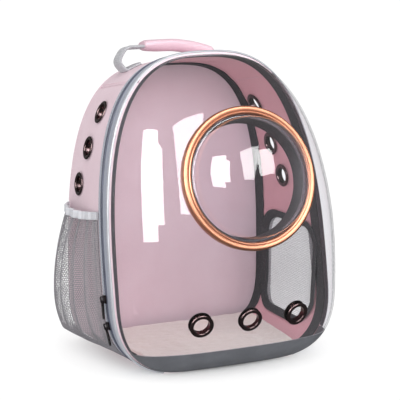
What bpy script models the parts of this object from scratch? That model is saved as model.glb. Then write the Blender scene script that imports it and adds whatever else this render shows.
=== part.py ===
"""Bubble pet carrier backpack: a stiff pink gusset, a clear bowed front with a bubble window, a net side pocket.

Metres, +Z up. The front faces -Y, and the origin is at the middle of the base, on the floor.
"""
import math

import bpy
import numpy as np
from mathutils import Matrix, Vector

# Driving sizes of the body
HEIGHT = 0.4225
HALF_WIDTH = 0.1625
RIM_Y = -0.105
RIM_LEAN = 0.186
BACK_Y = 0.106
WALL = 0.003
GAP = 0.0005

# Outlines seen from the front: flat base, lower corner, then one arch from the widest height to the top
FRONT_WIDEST = 0.104
FRONT_FLAT = 0.050
BACK_HALF = 0.154
BACK_TOP = 0.396
BACK_WIDEST = 0.083
BACK_FLAT = 0.110
FRONT = dict(half=HALF_WIDTH, top=HEIGHT, widest=FRONT_WIDEST, flat=FRONT_FLAT, arch=2.82, corner=2.8)
BACK = dict(half=BACK_HALF, top=BACK_TOP, widest=BACK_WIDEST, flat=BACK_FLAT, arch=3.1, corner=2.6)
SHELL_INSET = 0.0025
SHELL_EDGE = dict(FRONT, half=HALF_WIDTH - SHELL_INSET, top=HEIGHT - SHELL_INSET)

# Where the panels of the gusset meet, as places along the outline: 0 base middle, 2 widest, 3 top middle
TOP_SEAM = 2.65
BASE_SEAM = 1.30
BAND_END = 1.20

# Clear front
SHELL_WALL = 0.002
BOW = 0.108
BOW_HEIGHT = 0.207
BOW_ABOVE = 2.03
BOW_BELOW = 1.66
BOW_SQUARE = 2.8
LIP_TOP = 0.036

# Bubble and its ring
RING_AT = Vector((0.0, -0.166, 0.272))
RING_TILT = math.radians(17)
RING_OUTER = 0.0955
RING_INNER = 0.0845
RING_DEPTH = 0.026
RING_FACE_EDGE = 0.0038
RING_FACE_BEVEL = 0.0030
COLLAR_BACK = 0.078
COLLAR_DEPTH = 0.020
BUBBLE_RADIUS = 0.0815
BUBBLE_HEIGHT = 0.063
BUBBLE_SKIRT = 0.006
COLLAR_WALL = 0.002
COLLAR_RIM = 0.003

# Eyelets
EYELET_OUTER = 0.0165
EYELET_BORE = 0.0112
EYELET_TUBE = 0.0118
FLANGE = 0.0014
SAG_ON_SIDE = 0.0010
SAG_AT_MIDDLE = 0.0010
SAG_AT_BEND = 0.0022
SHELL_EYELETS_X = (-0.071, 0.0, 0.071)
SHELL_EYELET_Z = 0.080
LEFT_EYELETS = (
    # height, share of the way from the rim to the back
    (0.339, 0.546),
    (0.289, 0.635),
    (0.236, 0.758),
)
RIGHT_EYELETS = (
    (0.335, 0.692),
    (0.277, 0.621),
    (0.232, 0.507),
)

# Bands round the rim, each from front to back, measured behind the rim
PIPING = (-0.0010, 0.0060)
PIPING_HIGH = 0.0032
ZIP_TAPE = (0.0064, 0.0222)
ZIP_COIL = (0.0226, 0.0300)
RIM_TRIM = (0.0304, 0.0400)
TAPE_THICK = 0.0012
COIL_HIGH = 0.0024
INNER_TAPE = (0.0010, 0.0220)
INNER_THICK = 0.0010
SEAM_TAPE_WIDE = 0.0110

# Floor mat
MAT_THICK = 0.008
MAT_SEAT = 0.0003
MAT_FRONT = 0.024
MAT_BACK = 0.014
MAT_END = 1.32

# Mesh window in the right side
WINDOW_Y = (-0.060, 0.070)
WINDOW_Z = (0.029, 0.168)
WINDOW_CORNER = 0.030
MESH_THICK = 0.0010
WINDOW_LAP = 0.006
WINDOW_BAND = 0.008
BINDING_SHOWS = 0.002
RUN_BELOW_WINDOW = 0.22
RUN_ABOVE_WINDOW = 0.16

# Pocket on the left side
POCKET_Z = (0.008, 0.205)
POCKET_FRONT = 0.0425
POCKET_BACK = 0.004
POCKET_BULGE = 0.034
POCKET_FULLEST = (0.70, 0.46)
POCKET_FOLDS = 6
FOLD_DEEP = 0.0016
POCKET_THICK = 0.0012
ELASTIC_HIGH = 0.011
ELASTIC_THICK = 0.0026
ELASTIC_SAG = 0.005

# Handle on top
HANDLE_Y = 0.070
HANDLE_HALF = 0.080
HANDLE_RISE = 0.0075
HANDLE_TOP = HEIGHT + HANDLE_RISE
HANDLE_TAB = 0.022
HANDLE_FOLD = 0.012
TAB_SEAT = 0.0007
HANDLE_BEND = 0.010
HANDLE_LEVEL = -0.010
HANDLE_DROOP = 0.0127
WEBBING_WIDE = 0.025
WEBBING_THICK = 0.0022
SLEEVE_HALF = 0.052
SLEEVE_WIDE = 0.034
SLEEVE_THICK = 0.013
SLEEVE_ROUND = 0.005

# Zip sliders and their pulls
SLIDERS_Z = (0.101, 0.066)
SLIDER_LONG = 0.0115
SLIDER_WIDE = 0.0090
SLIDER_BASE = 0.0024
BRIDGE_WIDE = 0.0034
BRIDGE_HIGH = 0.0070
BRIDGE_HALF = 0.0045
BRIDGE_LEG = 0.0013
BRIDGE_ROOF = 0.0012
EDGE_CUT = 0.0010
PIVOT_DOWN = 0.0015
PIVOT_HIGH = 0.0042
PULL_LONG = 0.0250
PULL_WIDE = 0.0078
PULL_THICK = 0.0015
PULL_HOLE = 0.0078
PULL_TIP = 0.0020

# Shoulder straps
STRAP_X = 0.062
STRAP_SPREAD = 0.034
STRAP_WIDE = 0.055
STRAP_THICK = 0.010
STRAP_TOP = 0.345
STRAP_END = 0.150
STRAP_OUT = 0.040
STRAP_SEWN = 0.030
STRAP_LIFTS = 0.075
STRAP_ROUND = 0.004
STRAP_DRIFT = 0.012
WEBBING_LANDS = 0.050
WEBBING_SEWN = (0.036, 0.014)
WEBBING_SLACK = 0.012
BUCKLE_LONG = 0.024
BUCKLE_WIDER = 0.008
BUCKLE_THICK = 0.005

# Facets
ALONG = 0.017
ACROSS = 4
ROUND = 40
ROUND_SMALL = 20
SHARP = math.radians(35)


def new_material(name, colour, roughness, metallic=0.0):
    """Each piece has a finish of its own."""
    material = bpy.data.materials.new(name)
    material.use_nodes = True
    shader = material.node_tree.nodes["Principled BSDF"]
    shader.inputs["Base Color"].default_value = (*colour, 1.0)
    shader.inputs["Roughness"].default_value = roughness
    shader.inputs["Metallic"].default_value = metallic
    return material


FINISHES = {
    # finish: colour, roughness, metallic
    "pink": ((0.72, 0.53, 0.60), 0.7, 0.0),
    "grey": ((0.58, 0.60, 0.68), 0.7, 0.0),
    "white": ((0.80, 0.80, 0.80), 0.5, 0.0),
    "navy": ((0.03, 0.03, 0.05), 0.8, 0.0),
    "charcoal": ((0.10, 0.10, 0.12), 0.4, 0.0),
    "clear": ((0.85, 0.88, 0.90), 0.05, 0.0),
    "cream": ((0.70, 0.67, 0.62), 0.9, 0.0),
    "rose gold": ((0.80, 0.45, 0.28), 0.2, 1.0),
    "gunmetal": ((0.12, 0.10, 0.10), 0.3, 1.0),
    "net": ((0.40, 0.40, 0.42), 0.8, 0.0),
}


def add_mesh(name, points, faces, finish, origin=(0, 0, 0)):
    """A closed mesh object with its faces turned outwards."""
    origin = Vector(origin)
    mesh = bpy.data.meshes.new(name)
    mesh.from_pydata([Vector(p) - origin for p in points], [], faces)
    mesh.validate()
    signed = 0.0
    mesh.calc_loop_triangles()
    for triangle in mesh.loop_triangles:
        a, b, c = (mesh.vertices[i].co for i in triangle.vertices)
        signed += a.dot(b.cross(c))
    if signed < 0:
        mesh.flip_normals()
    mesh.shade_smooth()
    mesh.set_sharp_from_angle(angle=SHARP)
    part = bpy.data.objects.new(name, mesh)
    part.location = origin
    bpy.context.scene.collection.objects.link(part)
    if finish:
        mesh.materials.append(new_material(name + " finish", *FINISHES[finish]))
    return part


def hide(tool):
    """A cutter shows as wires and isn't a piece."""
    tool.hide_render = True
    tool.display_type = "WIRE"
    return tool


def combine(part, tool, operation="DIFFERENCE"):
    step = part.modifiers.new(operation.lower() + " " + tool.name, "BOOLEAN")
    step.object = tool
    step.operation = operation
    step.solver = "EXACT"
    return part


def rings_to_mesh(name, rings, finish, closed=False, origin=(0, 0, 0)):
    """Joins rings of points, all of one count, into a solid. A closed run has no end caps."""
    count = len(rings[0])
    points = [p for ring in rings for p in ring]
    faces = []
    for i in range(len(rings) if closed else len(rings) - 1):
        here = i * count
        after = (i + 1) % len(rings) * count
        for j in range(count):
            k = (j + 1) % count
            faces.append((here + j, here + k, after + k, after + j))
    if not closed:
        faces.append(tuple(range(count))[::-1])
        faces.append(tuple(range(len(points) - count, len(points))))
    return add_mesh(name, points, faces, finish, origin)


def outline_point(place, shape):
    """(x, z) on an outline. Places over 3, or under 0, are on the left."""
    side = 1
    if place > 3:
        place = 6 - place
        side = -1
    if place < 0:
        place = -place
        side = -1
    if place <= 1:
        return side * shape["flat"] * place, 0.0
    if place <= 2:
        turn = (place - 1) * math.pi / 2
        reach = shape["half"] - shape["flat"]
        x = shape["flat"] + reach * math.sin(turn) ** (2 / shape["corner"])
        z = shape["widest"] * (1 - math.cos(turn) ** (2 / shape["corner"]))
        return side * x, z
    turn = (place - 2) * math.pi / 2
    x = shape["half"] * max(math.cos(turn), 0.0) ** (2 / shape["arch"])
    z = shape["widest"] + (shape["top"] - shape["widest"]) * math.sin(turn) ** (2 / shape["arch"])
    return side * x, z


def rim_point(place, shape=FRONT):
    x, z = outline_point(place, shape)
    return Vector((x, RIM_Y + RIM_LEAN * z, z))


def back_point(place):
    x, z = outline_point(place, BACK)
    return Vector((x, BACK_Y - GAP, z))


def depth(place):
    return (back_point(place) - rim_point(place)).length


def on_gusset(place, behind):
    """The gusset's outer surface, at a distance behind the rim."""
    start = rim_point(place)
    return start.lerp(back_point(place), behind / depth(place))


def gusset_frame(place, behind):
    """Outward, backward and along-the-outline directions there."""
    step = 0.01
    along = (on_gusset(place + step, behind) - on_gusset(place - step, behind)).normalized()
    backward = (back_point(place) - rim_point(place)).normalized()
    outward = backward.cross(along).normalized()
    middle = Vector((0.0, 0.0, HEIGHT / 2))
    if outward.dot(on_gusset(place, behind) - middle) < 0:
        outward = -outward
    return outward, backward, along


def skin(place, behind, out):
    return on_gusset(place, behind) + gusset_frame(place, behind)[0] * out


def even_places():
    """Places at equal steps along the rim, the same for every piece, so that their facets lie parallel."""
    fine = np.linspace(0.0, 6.0, 1200)
    points = np.array([rim_point(p) for p in fine])
    run = np.concatenate([[0.0], np.cumsum(np.linalg.norm(np.diff(points, axis=0), axis=1))])
    count = round(run[-1] / ALONG / 2) * 2
    return [float(p) for p in np.interp(np.linspace(0, run[-1], count + 1), run, fine)]


RIM_PLACES = even_places()


def places(first, last):
    """The shared places between two ends, with the ends. An end under 0 is left of the base's middle."""
    shared = [p - 6 for p in RIM_PLACES[:-1]] + RIM_PLACES
    near = 1e-3
    return [first] + [p for p in shared if first + near < p < last - near] + [last]


def inset_place(place, toward, distance):
    """The place a short distance along the outline from another."""
    step = 0.01
    speed = (rim_point(place + step) - rim_point(place - step)).length / (2 * step)
    return place + math.copysign(1, toward - place) * distance / speed


def place_at(height, share, left=False):
    """The place in the upper or lower side where the gusset has this height."""
    low, high = 1.0, 3.0
    for _ in range(40):
        middle = (low + high) / 2
        z = rim_point(middle).lerp(back_point(middle), share).z
        low, high = (middle, high) if z < height else (low, middle)
    return 6 - low if left else low


def band(name, run, section, finish, closed=False):
    """A strip that follows the gusset. section(place) gives corners as (behind the rim, outward)."""
    rings = [[skin(p, behind, out) for behind, out in section(p)] for p in run]
    return rings_to_mesh(name, rings, finish, closed)


def flat_section(front, back, inner, outer):
    return lambda place: ((front, inner), (back, inner), (back, outer), (front, outer))


def full_section(front, from_back, inner, outer):
    """Corners of a strip that ends a fixed distance before the back."""

    def section(place):
        steps = np.linspace(front, depth(place) - from_back, ACROSS + 1)
        return [(d, inner) for d in steps] + [(d, outer) for d in steps[::-1]]

    return section


def round_section(front, back, high):
    """A half-round cord lying on the gusset."""
    corners = [(front, GAP), (back, GAP)]
    radius = (back - front) / 2
    for i in range(1, 4):
        turn = math.pi * i / 4
        corners.append((
            (front + back) / 2 + radius * math.cos(turn),
            GAP + (high - GAP) * math.sin(turn) ** 0.8,
        ))
    return lambda place: corners


def shell_half_width(z):
    edge = SHELL_EDGE
    if z >= edge["widest"]:
        rise = (z - edge["widest"]) / (edge["top"] - edge["widest"])
        return edge["half"] * max(1 - rise ** edge["arch"], 0.0) ** (1 / edge["arch"])
    drop = 1 - z / edge["widest"]
    corner = max(1 - drop ** edge["corner"], 0.0) ** (1 / edge["corner"])
    return edge["flat"] + (edge["half"] - edge["flat"]) * corner


def shell_point(x, z):
    """The clear front's outer surface: level sections are rounded squares, deepest at the bow's height."""
    if z > BOW_HEIGHT:
        power = BOW_ABOVE
        rise = (z - BOW_HEIGHT) / (SHELL_EDGE["top"] - BOW_HEIGHT)
    else:
        power = BOW_BELOW
        rise = (BOW_HEIGHT - z) / BOW_HEIGHT
    bow = BOW * max(1 - min(rise, 1.0) ** power, 0.0) ** (1 / power)
    across = min(abs(x) / max(shell_half_width(z), 1e-6), 1.0)
    forward = bow * (1 - across ** BOW_SQUARE) ** (1 / BOW_SQUARE)
    return Vector((x, RIM_Y + RIM_LEAN * z - GAP - forward, z))


def shell_normal(x, z):
    step = 0.001
    slope_x = (shell_point(x + step, z).y - shell_point(x - step, z).y) / (2 * step)
    slope_z = (shell_point(x, z + step).y - shell_point(x, z - step).y) / (2 * step)
    return Vector((slope_x, -1.0, slope_z)).normalized()


def shell_sheet(name, finish):
    """The whole bow from inside the ring to the rim, its wall inside and its edge in the rim's plane."""
    centre = Vector((RING_AT.x, RING_AT.z))
    steps = 9
    grid = []
    for place in RIM_PLACES[:-1:2]:
        edge = Vector(outline_point(place, SHELL_EDGE))
        start = centre + (edge - centre).normalized() * RING_INNER * 0.8
        run = [start.lerp(edge, math.sin(i / steps * math.pi / 2)) for i in range(steps + 1)]
        grid.append([shell_point(x, max(z, 0.0)) for x, z in run])
    inside = Vector((0.0, RIM_Y, HEIGHT / 2))
    rim_normal = Vector((0.0, 1.0, -RIM_LEAN)).normalized()
    rings = []
    for j, outer in enumerate(grid):
        inner = []
        for i, point in enumerate(outer):
            along = grid[(j + 1) % len(grid)][i] - grid[j - 1][i]
            out = outer[min(i + 1, steps)] - outer[max(i - 1, 0)]
            inward = along.cross(out).normalized()
            if inward.dot(inside - point) < 0:
                inward = -inward
            if i == steps:
                inward = (inward - rim_normal * inward.dot(rim_normal)).normalized()
            inner.append(point + inward * SHELL_WALL)
        rings.append(outer + inner[::-1])
    return rings_to_mesh(name, rings, finish, closed=True)


def axis_matrix(centre, axis):
    """Local +Z along the axis."""
    turn = Vector((0, 0, 1)).rotation_difference(Vector(axis)).to_matrix().to_4x4()
    return Matrix.Translation(centre) @ turn


def lathe(name, profile, matrix, finish, segments=ROUND):
    """Turns (radius, height) corners about local Z. A profile with both ends on the axis gets poles."""
    poles = profile[0][0] == 0
    body = profile[1:-1] if poles else profile
    points = []
    faces = []
    for radius, height in body:
        for j in range(segments):
            turn = 2 * math.pi * j / segments
            points.append(matrix @ Vector((radius * math.cos(turn), radius * math.sin(turn), height)))
    rows = len(body)
    for i in range(rows - 1 if poles else rows):
        here = i * segments
        after = (i + 1) % rows * segments
        for j in range(segments):
            k = (j + 1) % segments
            faces.append((here + j, here + k, after + k, after + j))
    if poles:
        for row, (_, height) in ((0, profile[0]), (rows - 1, profile[-1])):
            tip = len(points)
            points.append(matrix @ Vector((0, 0, height)))
            for j in range(segments):
                ends = (row * segments + j, row * segments + (j + 1) % segments)
                faces.append((tip, *ends) if row else (tip, *ends[::-1]))
    return add_mesh(name, points, faces, finish)


def eyelet(name, centre, outward, wall, sag):
    """A flanged metal eyelet through a wall. The flanges stand clear of the wall's curve."""
    front = sag + GAP
    back = -wall - sag - GAP
    mid = (EYELET_OUTER + EYELET_TUBE) / 2
    profile = [
        (EYELET_BORE, back - FLANGE), (EYELET_OUTER, back - FLANGE), (EYELET_OUTER, back),
        (EYELET_TUBE, back), (EYELET_TUBE, front), (EYELET_OUTER, front),
        (mid, front + FLANGE), (EYELET_BORE, front),
    ]
    return lathe(name, profile, axis_matrix(centre, outward), "gunmetal", ROUND_SMALL)


def bore(name, centre, outward, radius, length, segments=ROUND_SMALL):
    half = length / 2
    profile = [(0, -half), (radius, -half), (radius, half), (0, half)]
    return hide(lathe(name, profile, axis_matrix(centre, outward), None, segments))


def block(name, low, high):
    """A plain box, used as a cutter."""
    (x0, y0, z0), (x1, y1, z1) = low, high
    rings = [[(x, y0, z0), (x, y1, z0), (x, y1, z1), (x, y0, z1)] for x in (x0, x1)]
    return hide(rings_to_mesh(name, rings, None))


def window_prism(name, grow, x_from, x_to):
    """The window's rounded outline, grown or shrunk, as a bar along X."""
    y0, y1 = WINDOW_Y[0] - grow, WINDOW_Y[1] + grow
    z0, z1 = WINDOW_Z[0] - grow, WINDOW_Z[1] + grow
    radius = WINDOW_CORNER + grow
    corners = []
    for cy, cz, start in (
        (y1 - radius, z1 - radius, 0), (y0 + radius, z1 - radius, 1),
        (y0 + radius, z0 + radius, 2), (y1 - radius, z0 + radius, 3),
    ):
        for i in range(7):
            turn = (start + i / 6) * math.pi / 2
            corners.append((cy + radius * math.cos(turn), cz + radius * math.sin(turn)))
    return hide(rings_to_mesh(name, [[(x, y, z) for y, z in corners] for x in (x_from, x_to)], None))


def soften(path, radius, steps=5):
    """Rounds the corners of a path."""
    path = [Vector(p) for p in path]
    out = [path[0]]
    for before, corner, after in zip(path, path[1:], path[2:]):
        reach = min(radius, (corner - before).length / 2, (after - corner).length / 2)
        start = corner + (before - corner).normalized() * reach
        end = corner + (after - corner).normalized() * reach
        for i in range(steps + 1):
            t = i / steps
            out.append(start * (1 - t) ** 2 + corner * 2 * t * (1 - t) + end * t ** 2)
    out.append(path[-1])
    return out


def path_frames(path, across):
    """At each point of a path: the point, the width's direction and the face's direction."""
    frames = []
    for i, point in enumerate(path):
        tangent = (path[min(i + 1, len(path) - 1)] - path[max(i - 1, 0)]).normalized()
        wide = (across - tangent * across.dot(tangent)).normalized()
        frames.append((point, wide, tangent.cross(wide).normalized()))
    return frames


def strap(name, path, across, wide, thick, finish, rounding=0.0):
    """A flat strap along a path. rounding softens its long edges."""
    half, high = wide / 2, thick / 2
    cut = min(rounding, high)
    section = [(-half, -high), (half, -high), (half, high), (-half, high)]
    if cut:
        section = [
            (-half + cut, -high), (half - cut, -high), (half, -high + cut), (half, high - cut),
            (half - cut, high), (-half + cut, high), (-half, high - cut), (-half, -high + cut),
        ]
    rings = [
        [p + w * a + n * b for a, b in section]
        for p, w, n in path_frames(path, Vector(across))
    ]
    return rings_to_mesh(name, rings, finish)


def build_gusset():
    """The pink walls round the cabin, the base and the back."""
    section = full_section(0.0, 0.0, -WALL, 0.0)
    half_gap = GAP / 2
    base = places(
        -inset_place(BASE_SEAM, 0, half_gap), inset_place(BASE_SEAM, 0, half_gap)
    )
    band("bottom_panel", base, section, "pink")
    top = places(inset_place(TOP_SEAM, 3, half_gap), 6 - inset_place(TOP_SEAM, 3, half_gap))
    band("top_panel", top, section, "pink")
    side = places(inset_place(BASE_SEAM, 2, half_gap), inset_place(TOP_SEAM, 2, half_gap))
    right = band("side_panel_right", side, section, "pink")
    left = band("side_panel_left", [6 - p for p in side], section, "pink")
    ring = RIM_PLACES[:-1]
    rings = [
        [Vector((*outline_point(p, BACK)[:1], y, outline_point(p, BACK)[1])) for p in ring]
        for y in (BACK_Y, BACK_Y + WALL)
    ]
    rings_to_mesh("back_panel", rings, "pink")
    return left, right


def build_rim():
    """Bands outside and inside the rim. The outer ones end at the base, which lies flat."""
    run = places(BAND_END, 6 - BAND_END)
    band("rim_piping", run, round_section(*PIPING, PIPING_HIGH), "white")
    band("zip_tape", run, flat_section(*ZIP_TAPE, GAP, TAPE_THICK), "grey")
    band("zip_coil", run, flat_section(*ZIP_COIL, GAP, COIL_HIGH), "charcoal")
    band("rim_trim", run, flat_section(*RIM_TRIM, GAP, TAPE_THICK), "grey")
    inside = -WALL - GAP
    loop = RIM_PLACES[:-1]
    band("inner_rim_tape", loop, flat_section(*INNER_TAPE, inside - INNER_THICK, inside), "navy", True)

    def seam(place):
        back = depth(place) - GAP
        front = back - SEAM_TAPE_WIDE
        inner = inside - INNER_THICK
        return ((front, inner), (back, inner), (back, inside), (front, inside))

    band("back_seam_tape", loop, seam, "navy", True)
    seat = inside - MAT_SEAT
    mat = full_section(MAT_FRONT, MAT_BACK, seat - MAT_THICK, seat)
    band("floor_mat", places(-MAT_END, MAT_END)[1:-1], mat, "cream")


def build_front():
    """The clear bow, its opaque lip, the bubble and the metal ring."""
    axis = Vector((0.0, -math.cos(RING_TILT), math.sin(RING_TILT)))
    shell = shell_sheet("clear_shell", "clear")
    lip = shell_sheet("front_lip", "charcoal")
    reach = 2 * HEIGHT
    below = block("lip part", (-reach, -reach, -reach), (reach, reach, LIP_TOP - GAP / 2))
    above = block("clear part", (-reach, -reach, LIP_TOP + GAP / 2), (reach, reach, reach))
    combine(lip, below, "INTERSECT")
    combine(shell, above, "INTERSECT")
    ring_bore = bore("ring bore", RING_AT, axis, RING_OUTER + GAP, 2 * BOW, ROUND)
    combine(shell, ring_bore)
    for i, x in enumerate(SHELL_EYELETS_X):
        centre = shell_point(x, SHELL_EYELET_Z)
        outward = shell_normal(x, SHELL_EYELET_Z)
        hole = bore(f"shell eyelet bore {i + 1}", centre, outward, EYELET_TUBE + GAP, 2 * EYELET_TUBE)
        combine(shell, hole)
        sag = SAG_AT_BEND if x else SAG_AT_MIDDLE
        eyelet(f"shell_eyelet_{i + 1}", centre, outward, SHELL_WALL, sag)
    frame = axis_matrix(RING_AT, axis)
    wide, low = RING_FACE_EDGE, RING_FACE_BEVEL
    lathe("bubble_ring", [
        (RING_INNER, -low), (RING_INNER + wide * 0.3, -low * 0.3), (RING_INNER + wide, 0.0),
        (RING_OUTER - wide, 0.0), (RING_OUTER - wide * 0.3, -low * 0.3), (RING_OUTER, -low),
        (RING_OUTER, -RING_DEPTH), (RING_INNER, -RING_DEPTH),
    ], frame, "rose gold")
    front = -BUBBLE_SKIRT - GAP
    wide = RING_INNER - GAP
    lathe("ring_collar", [
        (wide, front), (COLLAR_BACK, front - COLLAR_DEPTH),
        (COLLAR_BACK - COLLAR_WALL, front - COLLAR_DEPTH), (wide - COLLAR_RIM, front),
    ], frame, "navy")
    wall = SHELL_WALL
    outer = [(0, BUBBLE_HEIGHT)]
    inner = []
    steps = 7
    for i in range(1, steps + 1):
        turn = math.pi / 2 * i / steps
        outer.append((BUBBLE_RADIUS * math.sin(turn), BUBBLE_HEIGHT * math.cos(turn)))
        inner.append((
            (BUBBLE_RADIUS - wall) * math.sin(turn), (BUBBLE_HEIGHT - wall) * math.cos(turn)
        ))
    flange = RING_INNER - GAP
    skirt = [(flange, 0.0), (flange, -BUBBLE_SKIRT), (BUBBLE_RADIUS - wall, -BUBBLE_SKIRT)]
    profile = outer + skirt + inner[::-1] + [(0, BUBBLE_HEIGHT - wall)]
    lathe("bubble_dome", profile, frame, "clear")


def build_sides(left, right):
    """Eyelets in both sides, and the net window in the right one."""
    for name, panel, spots in (("left", left, LEFT_EYELETS), ("right", right, RIGHT_EYELETS)):
        for i, (height, share) in enumerate(spots):
            place = place_at(height, share, spots is LEFT_EYELETS)
            behind = share * depth(place)
            centre = on_gusset(place, behind)
            outward = gusset_frame(place, behind)[0]
            hole = bore(f"{name} eyelet bore {i + 1}", centre, outward, EYELET_TUBE + GAP, 2 * EYELET_TUBE)
            combine(panel, hole)
            eyelet(f"side_eyelet_{name}_{i + 1}", centre, outward, WALL, SAG_ON_SIDE)
    reach = 2 * HALF_WIDTH
    inside = HALF_WIDTH / 8
    combine(right, window_prism("window cutter", 0.0, inside, reach))
    low, high = (place_at(z, 0.5) for z in WINDOW_Z)
    run = places(low - RUN_BELOW_WINDOW, high + RUN_ABOVE_WINDOW)
    mesh_out = -WALL - GAP
    behind = (INNER_TAPE[1] + GAP, SEAM_TAPE_WIDE + 2 * GAP)
    net = band("window_mesh", run, full_section(*behind, mesh_out - MESH_THICK, mesh_out), "net")
    combine(net, window_prism("net outline", WINDOW_LAP, inside, reach), "INTERSECT")
    band_out = mesh_out - MESH_THICK - GAP
    edge = band("window_binding", run, full_section(*behind, band_out - TAPE_THICK, band_out), "navy")
    combine(edge, window_prism("binding outline", WINDOW_BAND, inside, reach), "INTERSECT")
    combine(edge, window_prism("binding opening", -BINDING_SHOWS, inside / 2, 2 * reach))


def pocket_out(across, up):
    """How far the pocket stands off the wall. across and up run 0 to 1 over it."""
    back, high = POCKET_FULLEST
    swell = math.sin(math.pi * across ** (math.log(0.5) / math.log(back))) ** 0.7
    swell *= math.sin(math.pi * (0.15 + (0.5 - 0.15) / high * up)) ** 0.8
    gather = FOLD_DEEP * math.sin(2 * math.pi * POCKET_FOLDS * across) * math.sin(math.pi * across)
    rise = min(1.0, up * 5)
    return 2 * GAP + rise * (POCKET_BULGE * swell + gather * (0.4 + 0.6 * up))


def build_pocket():
    """A gathered net pocket, open at the top, with an elastic edge that sags a little."""
    low, high = (place_at(z, 0.0) for z in POCKET_Z)
    rows = places(low, high)
    columns = 24

    def point(across, row, out, lift=0.0):
        up = (row - low) / (high - low)
        drop = ELASTIC_SAG * up ** 4 * math.sin(math.pi * across) - lift
        place = 6 - inset_place(row, row - 1, drop)
        back = depth(place) - POCKET_BACK
        behind = POCKET_FRONT + (back - POCKET_FRONT) * across
        return skin(place, behind, pocket_out(across, up) + out)

    shares = [i / columns for i in range(columns + 1)]
    rings = []
    for row in rows:
        outer = [point(across, row, POCKET_THICK) for across in shares]
        inner = [point(across, row, 0.0) for across in shares]
        rings.append(outer + inner[::-1])
    rings_to_mesh("pocket_mesh", rings, "net")
    rings = []
    for across in shares:
        rings.append([
            point(across, high, out, lift)
            for out, lift in (
                (0.0, GAP), (ELASTIC_THICK, GAP),
                (ELASTIC_THICK, GAP + ELASTIC_HIGH), (0.0, GAP + ELASTIC_HIGH),
            )
        ])
    rings_to_mesh("pocket_elastic", rings, "grey")


def top_height(x):
    """Height of the gusset's top at the handle."""
    low, high = 2.0, 3.0
    share = (HANDLE_Y - RIM_Y - RIM_LEAN * HEIGHT) / (BACK_Y - RIM_Y - RIM_LEAN * HEIGHT)
    for _ in range(40):
        middle = (low + high) / 2
        point = rim_point(middle).lerp(back_point(middle), share)
        low, high = (middle, high) if point.x > abs(x) else (low, middle)
    return point.z


def grip_height(x):
    """Height of the handle's middle line. Worn soft, it droops to the right."""
    past = max((x - HANDLE_LEVEL) / (SLEEVE_HALF - HANDLE_LEVEL), 0.0)
    return HANDLE_TOP - SLEEVE_THICK / 2 - HANDLE_DROOP * past ** 1.5


def grip_line(reach, count):
    return [Vector((x, HANDLE_Y, grip_height(x))) for x in np.linspace(-reach, reach, count)]


def handle_foot(side, end):
    """From the sewn tab, round an outward fold and up to the grip."""
    seat = WEBBING_THICK / 2 + TAB_SEAT
    tab = [HANDLE_HALF - HANDLE_TAB * share for share in (1.0, 0.5, 0.0)]
    foot = [Vector((side * x, HANDLE_Y, top_height(x) + seat)) for x in tab]
    high = grip_height(side * HANDLE_HALF)
    fold = foot[-1].z + (high - foot[-1].z) * 0.4
    foot.append(Vector((side * (HANDLE_HALF + HANDLE_FOLD), HANDLE_Y, fold)))
    foot.append(Vector((side * HANDLE_HALF, HANDLE_Y, high)))
    return soften([*foot, end], HANDLE_BEND)


def build_handle():
    """Webbing sewn down at both ends, folded back and up into a padded sleeve."""
    line = grip_line(SLEEVE_HALF + 2.4 * SLEEVE_ROUND, 13)
    fall = (BACK["top"] - HEIGHT) / (BACK_Y - RIM_Y - RIM_LEAN * HEIGHT)
    across = (0.0, 1.0, fall)
    path = handle_foot(-1, line[0])[:-1] + line + handle_foot(1, line[-1])[-2::-1]
    strap("handle_webbing", path, across, WEBBING_WIDE, WEBBING_THICK, "grey")
    sleeve = grip_line(SLEEVE_HALF, 11)
    pad = strap("handle_sleeve", sleeve, across, SLEEVE_WIDE, SLEEVE_THICK, "pink", SLEEVE_ROUND)
    slot = strap("sleeve slot", line, across, WEBBING_WIDE + 2 * GAP, WEBBING_THICK + 2 * GAP, None)
    combine(pad, hide(slot))


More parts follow.
